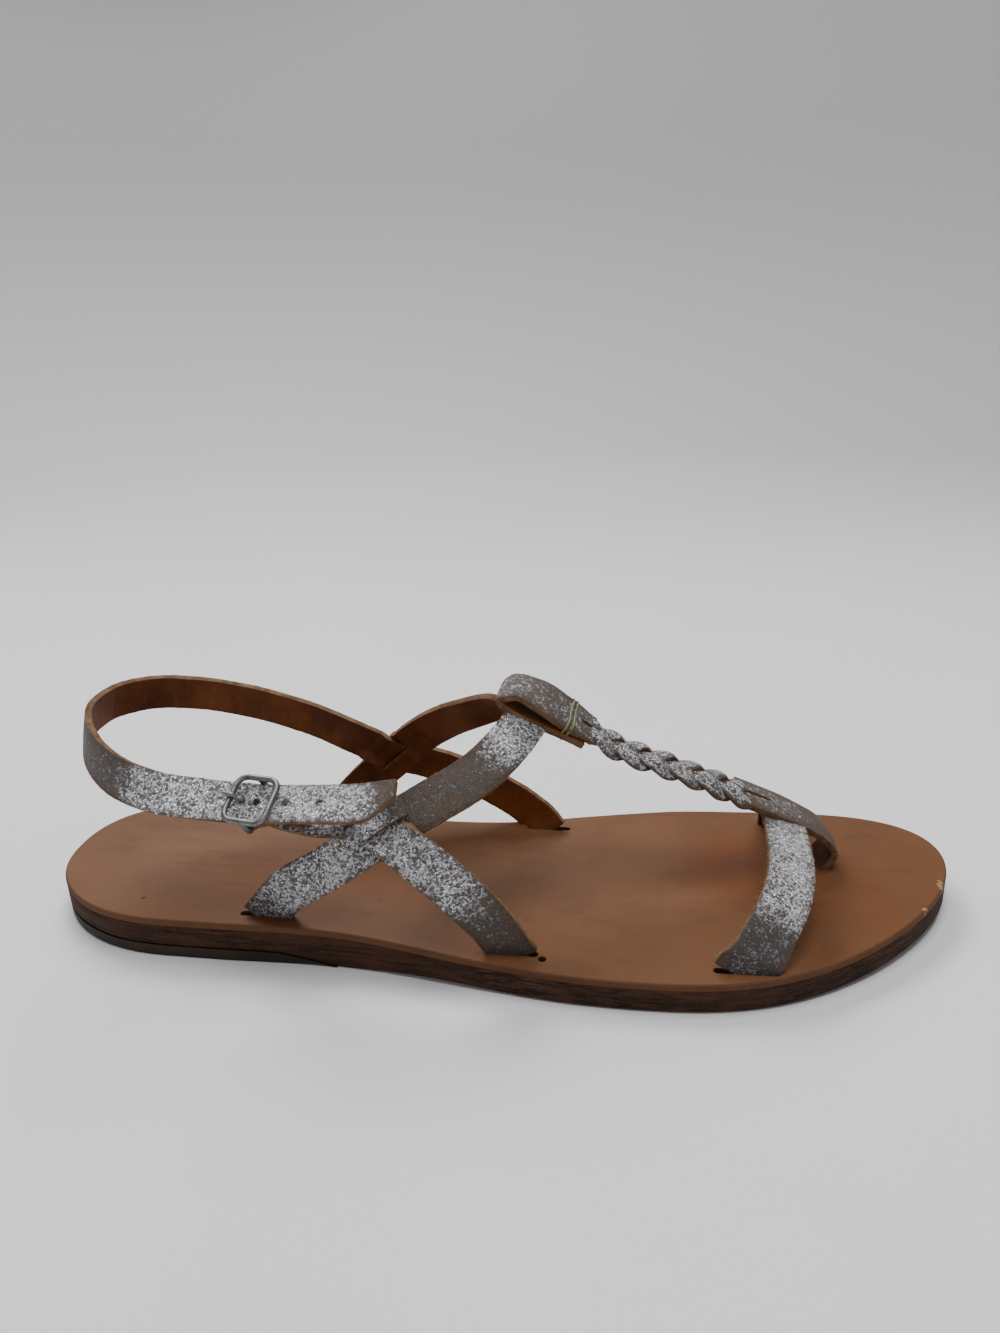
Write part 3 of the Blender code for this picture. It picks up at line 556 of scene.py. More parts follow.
ankleRows = [
    (0.558, 0.676, 0.000, 90, 0),
    (0.549, 0.705, 0.050, 90, 3),
    (0.530, 0.740, 0.118, 90, 5),
    (0.498, 0.762, 0.210, 90, 6),
    (0.450, 0.762, 0.318, 90, 8),
    (0.405, 0.742, 0.388, 90, 9),
    (0.378, 0.674, 0.440, 90, 8),
    (0.347, 0.655, 0.510, 91, 8),
    (0.268, 0.685, 0.662, 94, 10),
    (0.195, 0.660, 0.778, 100, 12),
    (0.140, 0.585, 0.848, 115, 14),
    (0.094, 0.410, 0.900, 138, 16),
    (0.070, 0.170, 0.912, 163, 16),
    (0.067, -0.070, 0.882, 188, 15),
    (0.084, -0.270, 0.830, 213, 16),
    (0.126, -0.485, 0.752, 238, 22),
    (0.180, -0.600, 0.700, 250, 34),
    (0.240, -0.668, 0.692, 254, 47),
    (0.290, -0.722, 0.705, 255, 56),
    (0.340, -0.742, 0.724, 259, 58),
    (0.392, -0.748, 0.752, 262, 56),
    (0.434, -0.752, 0.792, 264, 54),
]
frontLoopRows = [
    (0.606, 0.080, 0.868, 150, -55),
    (0.572, 0.052, 0.962, 150, -57),
    (0.534, 0.045, 1.050, 160, -56),
    (0.521, 0.045, 1.098, 178, 12),
    (0.534, 0.045, 1.134, -25, 70),
    (0.562, 0.050, 1.086, -32, 57),
    (0.590, 0.066, 0.980, -34, 53),
    (0.617, 0.096, 0.872, -30, 52),
]
braidRows = [
    (0.613, 0.090, 0.888, -28, 52),
    (0.646, 0.120, 0.775, -24, 58),
    (0.690, 0.145, 0.682, -20, 64),
    (0.735, 0.178, 0.582, -16, 63),
    (0.778, 0.222, 0.470, -12, 60),
]
toePostRows = [
    (0.772, 0.215, 0.486, -12, 60),
    (0.795, 0.248, 0.425, -10, 59),
    (0.820, 0.285, 0.355, -6, 52),
    (0.848, 0.315, 0.268, -3, 42),
    (0.870, 0.334, 0.180, 0, 20),
    (0.879, 0.342, 0.095, 2, -10),
    (0.874, 0.345, 0.040, 3, -24),
    (0.868, 0.346, 0.000, 3, -28),
]
toeStrapRows = [
    (0.761, -0.864, 0.000, -90, 2),
    (0.772, -0.846, 0.090, -86, 12),
    (0.784, -0.765, 0.175, -80, 30),
    (0.800, -0.605, 0.245, -70, 50),
    (0.811, -0.405, 0.290, -50, 64),
    (0.817, -0.120, 0.315, -15, 72),
    (0.820, 0.150, 0.315, 15, 72),
    (0.825, 0.420, 0.280, 60, 58),
    (0.831, 0.660, 0.190, 78, 34),
    (0.835, 0.800, 0.080, 86, 12),
    (0.836, 0.828, 0.000, 90, 2),
]


# How far a slit's halves stand apart: fully in its middle, not at all at its ends
def slitSwell(away):
    return ease((1.0 - away) / 0.28)


# A sheet of strap leather along a run. A slit opens in the middle column: it holds its place and
# length along the run, its gap, and how far its rear and front halves stand off the run
def strapSheet(frames, halves, columns, slits=(), wearAndShade=None, crown=0.0, jitter=0.00012, seed=0):
    work = bmesh.new()
    lay = work.loops.layers.uv.new("lay")
    # the wear layer holds foil wear and the painted shade of the foil
    wearAndShadeLayer = work.loops.layers.uv.new("wearAndShade")
    middle = columns // 2

    def point(d, frameHere, v, j, side):
        centre, along, across, out = frameHere
        edgeward = abs(2 * j / columns - 1)
        if edgeward == 1:
            rough = noise.noise(Vector((d * 900, seed + j * 7.0, 0.3)))
            v += jitter * (rough + 0.6 * noise.noise(Vector((d * 2600, seed + j * 3.0, 1.7))))
        lift = noise.noise(Vector((d * 110, v * 160, seed + 5.0))) * 0.00022 - crown * edgeward**2
        for slit in slits:
            away = abs(d - slit["at"]) / (slit["length"] / 2)
            lift += slitSwell(away) * slit["rear" if side < 0 else "front"]
            if j == middle and away < 1:
                v += side * slit["gap"] / 2 * math.sqrt(1 - away**2)
        return work.verts.new(centre + v * across + lift * out)

    grid = []
    for (d, frameHere), (low, high) in zip(frames, halves):
        cut = any(abs(d - slit["at"]) < slit["length"] / 2 for slit in slits)
        row = []
        for j in range(columns + 1):
            v = low + (high - low) * j / columns
            if j != middle or not slits:
                corner = point(d, frameHere, v, j, -1 if j < middle else 1)
                row.append((corner, corner, v))
                continue
            corners = [point(d, frameHere, v, j, side) for side in (-1, 1)]
            if not cut:
                corners[0].co = (corners[0].co + corners[1].co) / 2
                work.verts.remove(corners[1])
                corners[1] = corners[0]
            row.append((*corners, v))
        grid.append(row)
    for i in range(len(grid) - 1):
        for j in range(columns):
            corners = (grid[i][j], grid[i][j + 1], grid[i + 1][j + 1], grid[i + 1][j])
            ends = (frames[i][0], frames[i][0], frames[i + 1][0], frames[i + 1][0])
            face = work.faces.new([corner[k] for corner, k in zip(corners, (1, 0, 0, 1))])
            for loop, corner, d in zip(face.loops, corners, ends):
                loop[lay].uv = (d, corner[2])
                loop[wearAndShadeLayer].uv = wearAndShade(d, corner[2]) if wearAndShade else (0.0, 0.0)
    return work


tuckLook = {
    "step": 0.0006, "steps": 26, "reach": 0.0070,
    "fade": 0.0030,     # how far past the slit strap the bending goes on
    "bend": 0.0012,     # half the width of the bend from under to over
}


# Bends a strap's sheet so that it goes in under the rear half of the slit strap and out over
# its front half
def tuckThrough(sheet, run, cut):
    steps = [k * tuckLook["step"] for k in range(-tuckLook["steps"], tuckLook["steps"] + 1)]
    near = [run.frame(cut["at"] + step) + (step,) for step in steps]
    clear = shoe["strap"] + shoe["layerGap"] / 2
    fade, bend = tuckLook["fade"], tuckLook["bend"]
    for vert in sheet.verts:
        middle, along, across, out, away = min(near, key=lambda f: (f[0] - vert.co).length)
        v, w = (vert.co - middle).dot(across), (vert.co - middle).dot(out)
        bell = slitSwell(abs(away) / (cut["length"] / 2))
        inside = ease((cut["width"] / 2 + fade - abs(v)) / fade)
        inside *= ease(2.1 - abs(away) / tuckLook["reach"])
        below = min(w, cut["rear"] * bell - clear)
        above = max(w, cut["front"] * bell + clear)
        wanted = below + (above - below) * ease((v + bend) / (2 * bend))
        vert.co += inside * (wanted - w) * out


def runFrames(run, step, start=None, end=None):
    start = run.start if start is None else start
    end = run.end if end is None else end
    count = max(int((end - start) / step), 4)
    distances = [start + (end - start) * i / count for i in range(count + 1)]
    return [(d, run.frame(d)) for d in distances]


def addHoles(obj, cutters):
    for cutter in cutters:
        hole = obj.modifiers.new(cutter.name, "BOOLEAN")
        hole.solver = "EXACT"
        hole.object = cutter


def clearAway(cutters):
    for cutter in cutters:
        bpy.data.objects.remove(cutter)


def applyModifiers(obj):
    graph = bpy.context.evaluated_depsgraph_get()
    mesh = bpy.data.meshes.new_from_object(obj.evaluated_get(graph))
    obj.modifiers.clear()
    obj.data = mesh
    mesh.name = obj.name


# Gives sheets their thickness: face outside, lining inside, raw edge round the rim
def leatherPiece(name, sheets, materials, soften=0.00026, cutters=()):
    joined = bmesh.new()
    for sheet in sheets:
        part = bpy.data.meshes.new("sheet")
        sheet.to_mesh(part)
        sheet.free()
        joined.from_mesh(part)
        bpy.data.meshes.remove(part)
    obj = pieceFrom(joined, name, *materials)
    solid = obj.modifiers.new("thickness", "SOLIDIFY")
    solid.thickness = shoe["strap"]
    solid.offset = 0.0
    solid.material_offset = 1
    solid.material_offset_rim = 2
    addHoles(obj, cutters)
    bevel = obj.modifiers.new("softEdges", "BEVEL")
    bevel.width = soften
    bevel.segments = 2
    bevel.limit_method = "ANGLE"
    bevel.angle_limit = math.radians(50)
    bpy.context.view_layer.update()
    applyModifiers(obj)
    obj.data.shade_smooth()
    clearAway(cutters)
    return obj


# Loose fibres that stand off a strap's cut edges
def fibreTuft(name, frames, halves, count, seed, reach=(0.0004, 0.0016)):
    rng = random.Random(seed)
    work = bmesh.new()
    for _ in range(count):
        i = rng.randrange(len(frames))
        side = rng.choice((-1, 1))
        d, (middle, along, across, out) = frames[i]
        edge = halves[i][0] if side < 0 else halves[i][1]
        start = middle + edge * across + rng.uniform(-0.8, 0.8) * shoe["strap"] / 2 * out
        way = side * across + rng.uniform(-0.9, 0.9) * along + rng.uniform(-0.7, 0.7) * out
        bend = Vector((rng.uniform(-1, 1), rng.uniform(-1, 1), rng.uniform(-1, 0.6)))
        length = rng.uniform(*reach) * rng.uniform(0.4, 1.0)
        radius = rng.uniform(0.00002, 0.000045)
        rings = []
        for k in range(4):
            t = k / 3
            centre = start + length * (t * way.normalized() + 0.45 * t * t * bend)
            centre = centre - 0.0001 * side * across
            size = radius * (1 - 0.75 * t)
            rings.append([
                work.verts.new(centre + size * (math.cos(a) * along + math.sin(a) * out))
                for a in (0.0, 2.094, 4.189)
            ])
        for low, high in zip(rings, rings[1:]):
            for k in range(3):
                work.faces.new((low[k], low[(k + 1) % 3], high[(k + 1) % 3], high[k]))
        work.faces.new(rings[0][::-1])
        work.faces.new(rings[-1])
    return pieceFrom(work, name, fibreColour)


def keep(obj, slot="upper", *replaced):
    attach(obj, "root")
    if replaced:
        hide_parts(*replaced)
    return obj


# A strap of one sheet, foil outside and bare inside, with the loose fibres at its edges
def keepStrap(name, sheet, frames, halves, fibres, seed, reach=(0.0004, 0.0016), cutters=()):
    keep(leatherPiece(name, [sheet], [foil, inner, rawEdge], cutters=cutters))
    keep(fibreTuft(name + "Fibres", frames, halves, fibres, seed, reach))


def straightHalves(frames, width):
    return [(-width / 2, width / 2) for _ in frames]


instep = Run(instepRows, (True, True))
ankle = Run(ankleRows, (True, False))
frontLoop = Run(frontLoopRows)
braidRun = Run(braidRows)
toePost = Run(toePostRows, (False, True))
toeRun = Run(toeStrapRows, (True, True))

# The sole's plan: share of the length, half width and sideways swing in half ball widths
planRows = [
    (0.00, 0.770, 0.160),
    (0.10, 0.772, 0.085),
    (0.22, 0.773, 0.046),
    (0.38, 0.724, -0.034),
    (0.50, 0.808, -0.077),
    (0.60, 0.922, -0.055),
    (0.70, 0.988, -0.012),
    (0.80, 1.000, 0.052),
    (0.88, 0.995, 0.165),
    (0.94, 0.985, 0.275),
    (1.00, 0.975, 0.385),
]
soleShape = {
    "heelRound": (0.175, 2.25),
    "toeRound": (0.305, 2.05),
    "stations": 150,
    "rubberEnd": 0.078,     # where the heel rubber's slanted joint begins, from the back
    "rubberTip": 0.017,     # and how far forward the joint runs
    "archStart": 0.099,     # where the sole leaves the floor, from the back
    "archRise": 0.034,      # and over what length it does so
    "under": 0.0010,
}


def endRound(share, length, power):
    inside = 1 - max(1 - share / length, 0.0) ** power
    return max(inside, 0.0) ** (1 / power)


def planAt(share, side):
    places = [row[0] for row in planRows]
    half, swing = smoothThrough(np.array(places), np.array([row[1:] for row in planRows]), share)
    half *= endRound(share, *soleShape["heelRound"]) * endRound(1 - share, *soleShape["toeRound"])
    return shoe["ballWidth"] / 2 * (swing + side * half)


def underAt(x):
    return topAt(x) - shoe["sole"]


# A sole layer down to its lowest level: each level is an inset from the outline and a height
def soleLayer(name, end, levels, material):
    count = soleShape["stations"]
    turns = [0.5 - 0.5 * math.cos(math.pi * i / count) for i in range(count + 1)]
    places = [((end * t - 0.5) * shoe["length"], end * t) for t in turns]
    lateral = [Vector((x, planAt(share, -1))) for x, share in places]
    medial = [Vector((x, planAt(share, 1))) for x, share in places]
    pointed = (lateral[-1] - medial[-1]).length < 1e-5
    ring = lateral + (medial[::-1][1:] if pointed else medial[::-1])
    ring = ring[:-1]
    size = len(ring)
    work = bmesh.new()
    rims = []
    for inset, height in levels:
        rim = []
        for i, spot in enumerate(ring):
            way = (ring[(i + 1) % size] - ring[i - 1]).normalized()
            x, y = spot + inset * Vector((-way.y, way.x))
            rim.append(work.verts.new((x, y, height(x))))
        rims.append(rim)
    for upper, lower in zip(rims, rims[1:]):
        for i in range(size):
            j = (i + 1) % size
            work.faces.new((upper[i], upper[j], lower[j], lower[i]))
    for rim in (rims[0], rims[-1]):
        for i in range(count):
            across = (rim[i], rim[i + 1], rim[size - i - 1], rim[(size - i) % size])
            work.faces.new(tuple(dict.fromkeys(across)))
    bmesh.ops.recalc_face_normals(work, faces=work.faces)
    return pieceFrom(work, name, material)


def cutAway(obj, cutters):
    addHoles(obj, cutters)
    bpy.context.view_layer.update()
    applyModifiers(obj)
    clearAway(cutters)


def softShade(obj, degrees=38):
    obj.data.shade_smooth()
    obj.data.set_sharp_from_angle(angle=math.radians(degrees))


# An upright block with rounded ends, for a slot: its half length and half width, on a line
def slotForm(name, centre, line, near, far, half, low, high):
    side = Vector((-line.y, line.x))
    work = bmesh.new()
    flat = []
    for end, start in ((far - half, -90), (near + half, 90)):
        for k in range(9):
            angle = math.radians(start + 180 * k / 8)
            out = end + half * math.cos(angle)
            flat.append(centre + out * line + half * math.sin(angle) * side)
    low, high = [[work.verts.new((p.x, p.y, z)) for p in flat] for z in (low, high)]
    work.faces.new(low[::-1])
    work.faces.new(high)
    for i in range(len(flat)):
        j = (i + 1) % len(flat)
        work.faces.new((low[i], low[j], high[j], high[i]))
    bmesh.ops.recalc_face_normals(work, faces=work.faces)
    return pieceFrom(work, name)


slotLook = {
    "room": 0.00012, "depth": 0.003, "reach": -0.0006,
    "strap": 0.0120, "buckleStrap": 0.0124, "toeLateral": 0.0150, "toeMedial": 0.0125,
    "holeAt": (0.0183, -0.0361), "hole": 0.0011,
}


# The slot that a strap goes down through, as tight as the strap
def strapSlot(name, run, width, last):
    middle, along, across, out = run.frame(run.length - shoe["root"] if last else shoe["root"])
    steps = [shoe["root"] * (0.3 + 0.02 * k) for k in range(71)]
    near = [run.frame(run.length - d if last else d) for d in steps]
    line = Vector((across.x, across.y)).normalized()
    centre = Vector((middle.x, middle.y))
    floor = topAt(middle.x)
    ends = []
    for edge in (-width / 2, width / 2):
        corners = [place + edge * wide for place, _, wide, _ in near]
        corner = min(corners, key=lambda p: abs(p.z - topAt(p.x)))
        ends.append(line.dot(Vector((corner.x, corner.y)) - centre))
    half = shoe["strap"] / 2 + slotLook["room"]
    reach = slotLook["reach"]
    return slotForm(
        name, centre, line, min(ends) - reach, max(ends) + reach, half,
        floor - slotLook["depth"], floor + slotLook["depth"],
    )


insoleRound = 0.0007
levels = [
    (insoleRound, topAt),
    (insoleRound * 0.45, lambda x: topAt(x) - insoleRound * 0.12),
    (insoleRound * 0.12, lambda x: topAt(x) - insoleRound * 0.45),
    (0.0, lambda x: topAt(x) - insoleRound),
    (0.00002, lambda x: topAt(x) - shoe["insole"] + 0.0001),
]
insolePiece = soleLayer("insoleLeather", 1.0, levels, insoleFinish())
lateralFront = Run(buckleRows, (True, False))
slots = [
    strapSlot("slotInstepLateral", instep, slotLook["strap"], False),
    strapSlot("slotInstepMedial", instep, slotLook["strap"], True),
    strapSlot("slotBuckle", lateralFront, slotLook["buckleStrap"], False),
    strapSlot("slotAnkle", ankle, slotLook["strap"], False),
    strapSlot("slotToeLateral", toeRun, slotLook["toeLateral"], False),
    strapSlot("slotToeMedial", toeRun, slotLook["toeMedial"], True),
    strapSlot("slotPost", toePost, slotLook["strap"], True),
]
holeAt, hole = Vector(slotLook["holeAt"]), slotLook["hole"]
low, high = topAt(holeAt.x) - slotLook["depth"], topAt(holeAt.x) + slotLook["depth"]
slots.append(slotForm("slotHole", holeAt, Vector((1, 0)), -hole, hole, hole, low, high))
cutAway(insolePiece, slots)
softShade(insolePiece)
keep(insolePiece, "insole", "insole")


# How far up the heel rubber reaches, slanting down to nothing at its front
def rubberTop(x):
    fromBack = x + shoe["length"] / 2
    slant = 1 - (fromBack - soleShape["rubberEnd"]) / soleShape["rubberTip"]
    return min(underAt(x), shoe["heelRise"] * max(slant, 0.0))


def bodyUnder(x):
    fromBack = x + shoe["length"] / 2
    if fromBack < soleShape["rubberEnd"] + soleShape["rubberTip"]:
        return rubberTop(x)
    return underAt(x) * ease((fromBack - soleShape["archStart"]) / soleShape["archRise"])


levels = [
    (0.0001, lambda x: topAt(x) - shoe["insole"]),
    (0.0, lambda x: topAt(x) - shoe["insole"] - 0.0003),
    (0.0, lambda x: bodyUnder(x) + min(soleShape["under"], 0.3 * underAt(x) + 0.0006)),
    (0.0006, bodyUnder),
]
soleBody = soleLayer("soleBody", 1.0, levels, soleEdgeFinish())
softShade(soleBody, 50)
keep(soleBody, "outsole", "outsole", "heel_wedge")
levels = [
    (0.0, rubberTop),
    (0.0, lambda x: rubberTop(x) * 0.35),
    (0.0005, lambda x: -0.00002),
]
rubberShare = (soleShape["rubberEnd"] + soleShape["rubberTip"]) / shoe["length"]
heelRubber = soleLayer("heelRubber", rubberShare, levels, rubberFinish())
softShade(heelRubber, 50)
keep(heelRubber, "heel_piece", "heel_piece")
print("Sandal: sole made")

buckle = {
    "place": 0.293, "roll": 6, "wire": 0.0016, "length": 0.0134, "corner": 0.0029,
    "gap": 0.0003, "tab": 0.0125, "strapWidth": 0.0104, "prong": 0.0012,
    "holePitch": 0.0086, "holeShift": 0.0008, "hole": 0.0022, "turn": 0.0012,
    "slotRoom": 0.0004,     # how much wider the strap is at its slot than the instep strap
    "tabCut": 0.0034,       # how much narrower the riveted tab is
}


# The buckle's own directions: along the strap, up its bar, and out of its face
def buckleFrame():
    want = (buckle["place"] - 0.5) * shoe["length"]
    distance = ankle.length
    while ankle.at(distance).x > want:
        distance -= 0.0002
    middle, along, across, out = ankle.frame(distance)
    roll = math.radians(buckle["roll"])
    turned = math.cos(roll) * along + math.sin(roll) * across
    return middle, turned, math.sin(roll) * along - math.cos(roll) * across, out


buckleSite = buckleFrame()
strapStep = shoe["strap"] + shoe["layerGap"]
barStep = shoe["strap"] / 2 + buckle["gap"] + buckle["wire"] / 2
barDepth = -(strapStep + barStep)


def inBuckle(a, b, c):
    middle, along, up, out = buckleSite
    return middle + a * along + b * up + c * out


# The buckle strap goes on past the crossing, round the bar and back as a riveted tab
def foldPairs():
    along, out = buckleSite[1], buckleSite[3]
    pairs = [(inBuckle(buckle["gap"], 0, -strapStep), out)]
    for degrees in range(90, 271, 15):
        angle = math.radians(degrees)
        radial = math.cos(angle) * along + math.sin(angle) * out
        pairs.append((inBuckle(0, 0, barDepth) + barStep * radial, radial))
    for a in (0.0030, 0.0070, buckle["tab"]):
        pairs.append((inBuckle(a, 0, barDepth - barStep), -out))
    return pairs


# Round wire through the points, as a mesh
def wirePiece(name, lines, material, parts=3):
    work = bmesh.new()
    for points, radius, closed in lines:
        data = bpy.data.curves.new(name, "CURVE")
        data.dimensions = "3D"
        line = data.splines.new("POLY")
        line.points.add(len(points) - 1)
        for target, point in zip(line.points, points):
            target.co = (*point, 1)
        line.use_cyclic_u = closed
        data.bevel_depth = radius
        data.bevel_resolution = parts
        data.use_fill_caps = True
        wire = bpy.data.objects.new(name, data)
        bpy.context.scene.collection.objects.link(wire)
        bpy.context.view_layer.update()
        graph = bpy.context.evaluated_depsgraph_get()
        mesh = bpy.data.meshes.new_from_object(wire.evaluated_get(graph))
        work.from_mesh(mesh)
        bpy.data.meshes.remove(mesh)
        bpy.data.objects.remove(wire)
    bmesh.ops.remove_doubles(work, verts=work.verts, dist=1e-6)
    obj = pieceFrom(work, name, material)
    softShade(obj, 60)
    return obj


# The points of a line made soft and close together
def softLine(points, count, closed=False):
    points = [np.array(p) for p in points]
    if closed:
        points = points[-3:] + points + points[:3]
    steps = [np.linalg.norm(b - a) for a, b in zip(points, points[1:])]
    places = np.concatenate([[0], np.cumsum(steps)])
    start, end = (places[3], places[-3]) if closed else (places[0], places[-1])
    step = (end - start) / (count if closed else count - 1)
    return [smoothThrough(places, np.array(points), start + step * i) for i in range(count)]


def makeBuckle():
    up = (buckle["strapWidth"] + buckle["wire"]) / 2 + buckle["gap"]
    side = (buckle["length"] - buckle["wire"]) / 2
    corner, turn, wire = buckle["corner"], buckle["turn"], buckle["wire"] / 2
    ring = []
    for quarter, (sx, sy) in enumerate(((1, 1), (-1, 1), (-1, -1), (1, -1))):
        for i in range(9):
            angle = math.pi / 2 * (quarter + i / 8)
            a = sx * (side - corner) + corner * math.cos(angle)
            b = sy * (up - corner) + corner * math.sin(angle)
            ring.append(inBuckle(a, b, barStep))
    half = [
        (up, barStep + 0.0002), (up, barStep - turn), (up, barDepth + turn),
        (up - turn * 0.3, barDepth + turn * 0.3), (up - turn, barDepth),
    ]
    bar = [inBuckle(0, b, c) for b, c in half + [(-b, c) for b, c in half[::-1]]]
    pieces = [(ring, wire, True), (bar, wire, False)]
    keep(wirePiece("buckleRing", pieces, pewter, 5), "buckle_frame", "buckle_frame")
    radius = (buckle["wire"] + buckle["prong"]) / 2 + buckle["gap"]
    over = barStep + radius
    turns = [math.radians(d) for d in range(120, -181, -30)]
    prong = [(radius * math.cos(t), barDepth + radius * math.sin(t)) for t in turns]
    prong += [(-0.0024, -0.0018), (-0.0026, 0.0002), (-0.0030, 0.0016), (-0.0040, 0.0022)]
    prong += [(-side + 0.0010, over - 0.0003), (-side - 0.0014, over - 0.0002)]
    tongue = softLine([inBuckle(a, 0, c) for a, c in prong], 60)
    tongue = wirePiece("buckleTongue", [(tongue, buckle["prong"] / 2, False)], pewter, 4)
    keep(tongue, "buckle_prong", "buckle_prong")


makeBuckle()
buckleRun = Run(buckleRows, (True, False), foldPairs())

# Instep strap, slit where the buckle strap and the ankle strap go through it
instepLook = {"width": 0.0120, "slit": 0.0146, "gap": 0.0005, "rear": 0.0016, "front": -0.0014}
lateralCross = instep.nearest(Vector((-0.0220, -0.0300, 0.0410)))
medialCross = instep.nearest(Vector((-0.0330, 0.0293, 0.0345)))


# Foil wear, and painted shade: the foil is painted darker near the lateral foot and beyond the
# lateral crossing
def instepWearAndShade(d, v):
    edge = abs(v) / (instepLook["width"] / 2)
    footShade = ease((0.019 - d) / 0.008)
    middle = ease((d - lateralCross + 0.001) / 0.008) * ease((lateralCross + 0.040 - d) / 0.012)
    return 0.08 + 0.26 * edge**5 + 0.22 * middle, 0.05 + 0.45 * footShade + 0.75 * middle


frames = runFrames(instep, 0.0008)
halves = straightHalves(frames, instepLook["width"])
crossings = (lateralCross, medialCross)
cuts = [{**instepLook, "at": at, "length": instepLook["slit"]} for at in crossings]
sheet = strapSheet(frames, halves, 10, cuts, instepWearAndShade, 0.0002, seed=1)
keep(leatherPiece("instepStrap", [sheet], [foil, inner, rawEdge]), "upper", "upper")
keep(fibreTuft("instepStrapFibres", frames, halves, 300, 11))
print("Sandal: instep strap made")

# Buckle strap: from the lateral front slot through the instep strap, round the buckle's bar
frames = runFrames(buckleRun, 0.0007)
halves = []
for d, _ in frames:
    share = d / buckleRun.length
    width = instepLook["width"] + buckle["slotRoom"]
    width += (buckle["strapWidth"] - width) * share
    tab = ease((buckle["tab"] + 0.002 - (buckleRun.length - d)) / 0.004) * buckle["tabCut"]
    halves.append((-width / 2 + tab * 0.9, width / 2 - tab * 0.1))


# Foil wear, and painted shade: the foil is painted darker low down, towards its slot
def buckleStrapWearAndShade(d, v):
    low = ease((0.034 - d) / 0.016)
    return 0.12 + 0.22 * (abs(v) / 0.006) ** 4 + 0.16 * low, 0.15 + 0.55 * low


sheet = strapSheet(frames, halves, 8, (), buckleStrapWearAndShade, 0.0002, seed=2)
tuckThrough(sheet, instep, cuts[0])
keepStrap("buckleStrap", sheet, frames, halves, 260, 12)

# Ankle strap: its end lies on the buckle strap, cut slantwise, with punched holes
ankleLook = {"tipCut": 0.0080, "tipLeft": 0.0042}
frames = runFrames(ankle, 0.0008)
halves = []
for d, _ in frames:
    width = instepLook["width"] + (buckle["strapWidth"] - instepLook["width"]) * d / ankle.length
    left = ankle.length - d
    cut = (width - ankleLook["tipLeft"]) * max(1 - left / ankleLook["tipCut"], 0.0) ** 1.3
    halves.append((-width / 2, width / 2 - cut))


# Foil wear, and painted shade: the foil is painted darker along the side and towards the tip
def ankleWearAndShade(d, v):
    back = math.exp(-((d - 0.150) / 0.020) ** 2)
    side = ease((d - 0.162) / 0.012) * ease((0.205 - d) / 0.010)
    tip = ease((d - ankle.length + 0.012) / 0.012)
    worn = 0.08 + 0.24 * (abs(v) / 0.0055) ** 4 + 0.12 * back + 0.18 * side + 0.30 * tip
    return worn, 0.10 + 0.65 * side + 0.5 * tip


def punch(name, run, distance, radius):
    middle, along, across, out = run.frame(distance)
    work = bmesh.new()
    bmesh.ops.create_cone(
        work, cap_ends=True, segments=20, radius1=radius, radius2=radius, depth=0.006
    )
    turn = out.to_track_quat("Z", "Y").to_matrix().to_4x4()
    bmesh.ops.transform(work, matrix=Matrix.Translation(middle) @ turn, verts=work.verts)
    return pieceFrom(work, name)


shifts = [buckle["holeShift"] + buckle["holePitch"] * k for k in range(3)] + [-0.0028]
holes = []
for k, shift in enumerate(shifts):
    at = ankle.nearest(inBuckle(shift, 0, 0))
    holes.append(punch(f"punch{k}", ankle, at, buckle["hole"] / 2))
sheet = strapSheet(frames, halves, 8, (), ankleWearAndShade, 0.00025, seed=3)
tuckThrough(sheet, instep, cuts[1])
keepStrap("ankleStrap", sheet, frames, halves, 460, 13, cutters=holes)
print("Sandal: buckle and ankle straps made")

# T-strap: loop round the instep strap, three-strand braid, solid band and toe post
tLook = {
    "width": 0.0120, "strand": 0.0048, "reach": 0.0036, "lift": 0.00090, "periods": 2,
    "roll": 30, "crown": 0.00075, "loopEnd": 0.0098,
}


# Foil wear, and painted shade: the loop's foil is painted evenly darker
def tWearAndShade(d, v):
    return 0.26 + 0.16 * (abs(v) / 0.006) ** 4, 0.36


# Foil wear, and painted shade: the toe post's foil is painted evenly darker
def postWearAndShade(d, v):
    return 0.30 + 0.22 * (abs(v) / 0.006) ** 4 + 0.2 * ease((d - 0.018) / 0.01), 0.30


def strandFrames(k):
    count = 100
    made = []
    for i in range(count + 1):
        share = i / count
        d = braidRun.length * share
        middle, along, across, out = braidRun.frame(d)
        phase = 2 * math.pi * (tLook["periods"] * share + k / 3)
        calm = ease(share / 0.06) * ease((1 - share) / 0.06)
        grown = 0.88 + 0.20 * share
        slope = tLook["reach"] * math.cos(phase) * 2 * math.pi * tLook["periods"] / braidRun.length
        turned = (along + slope * across).normalized()
        side = turned.cross(out).normalized()
        roll = math.radians(tLook["roll"]) * math.sin(phase) * calm
        tilted = math.cos(roll) * side - math.sin(roll) * out
        face = math.cos(roll) * out + math.sin(roll) * side
        lift = tLook["lift"] * math.sin(2 * phase) * calm
        spot = middle + tLook["reach"] * grown * math.sin(phase) * across + lift * out
        made.append((d, (spot, turned, tilted, face)))
    return made


# Foil wear, and painted shade: the braid's foil is painted a little darker
def braidWearAndShade(d, v):
    return 0.15 + 0.30 * (abs(v) / 0.0024) ** 3, 0.16


def openSlit(at, length, gap):
    return {"at": at, "length": length, "gap": gap, "rear": 0.0, "front": 0.0}


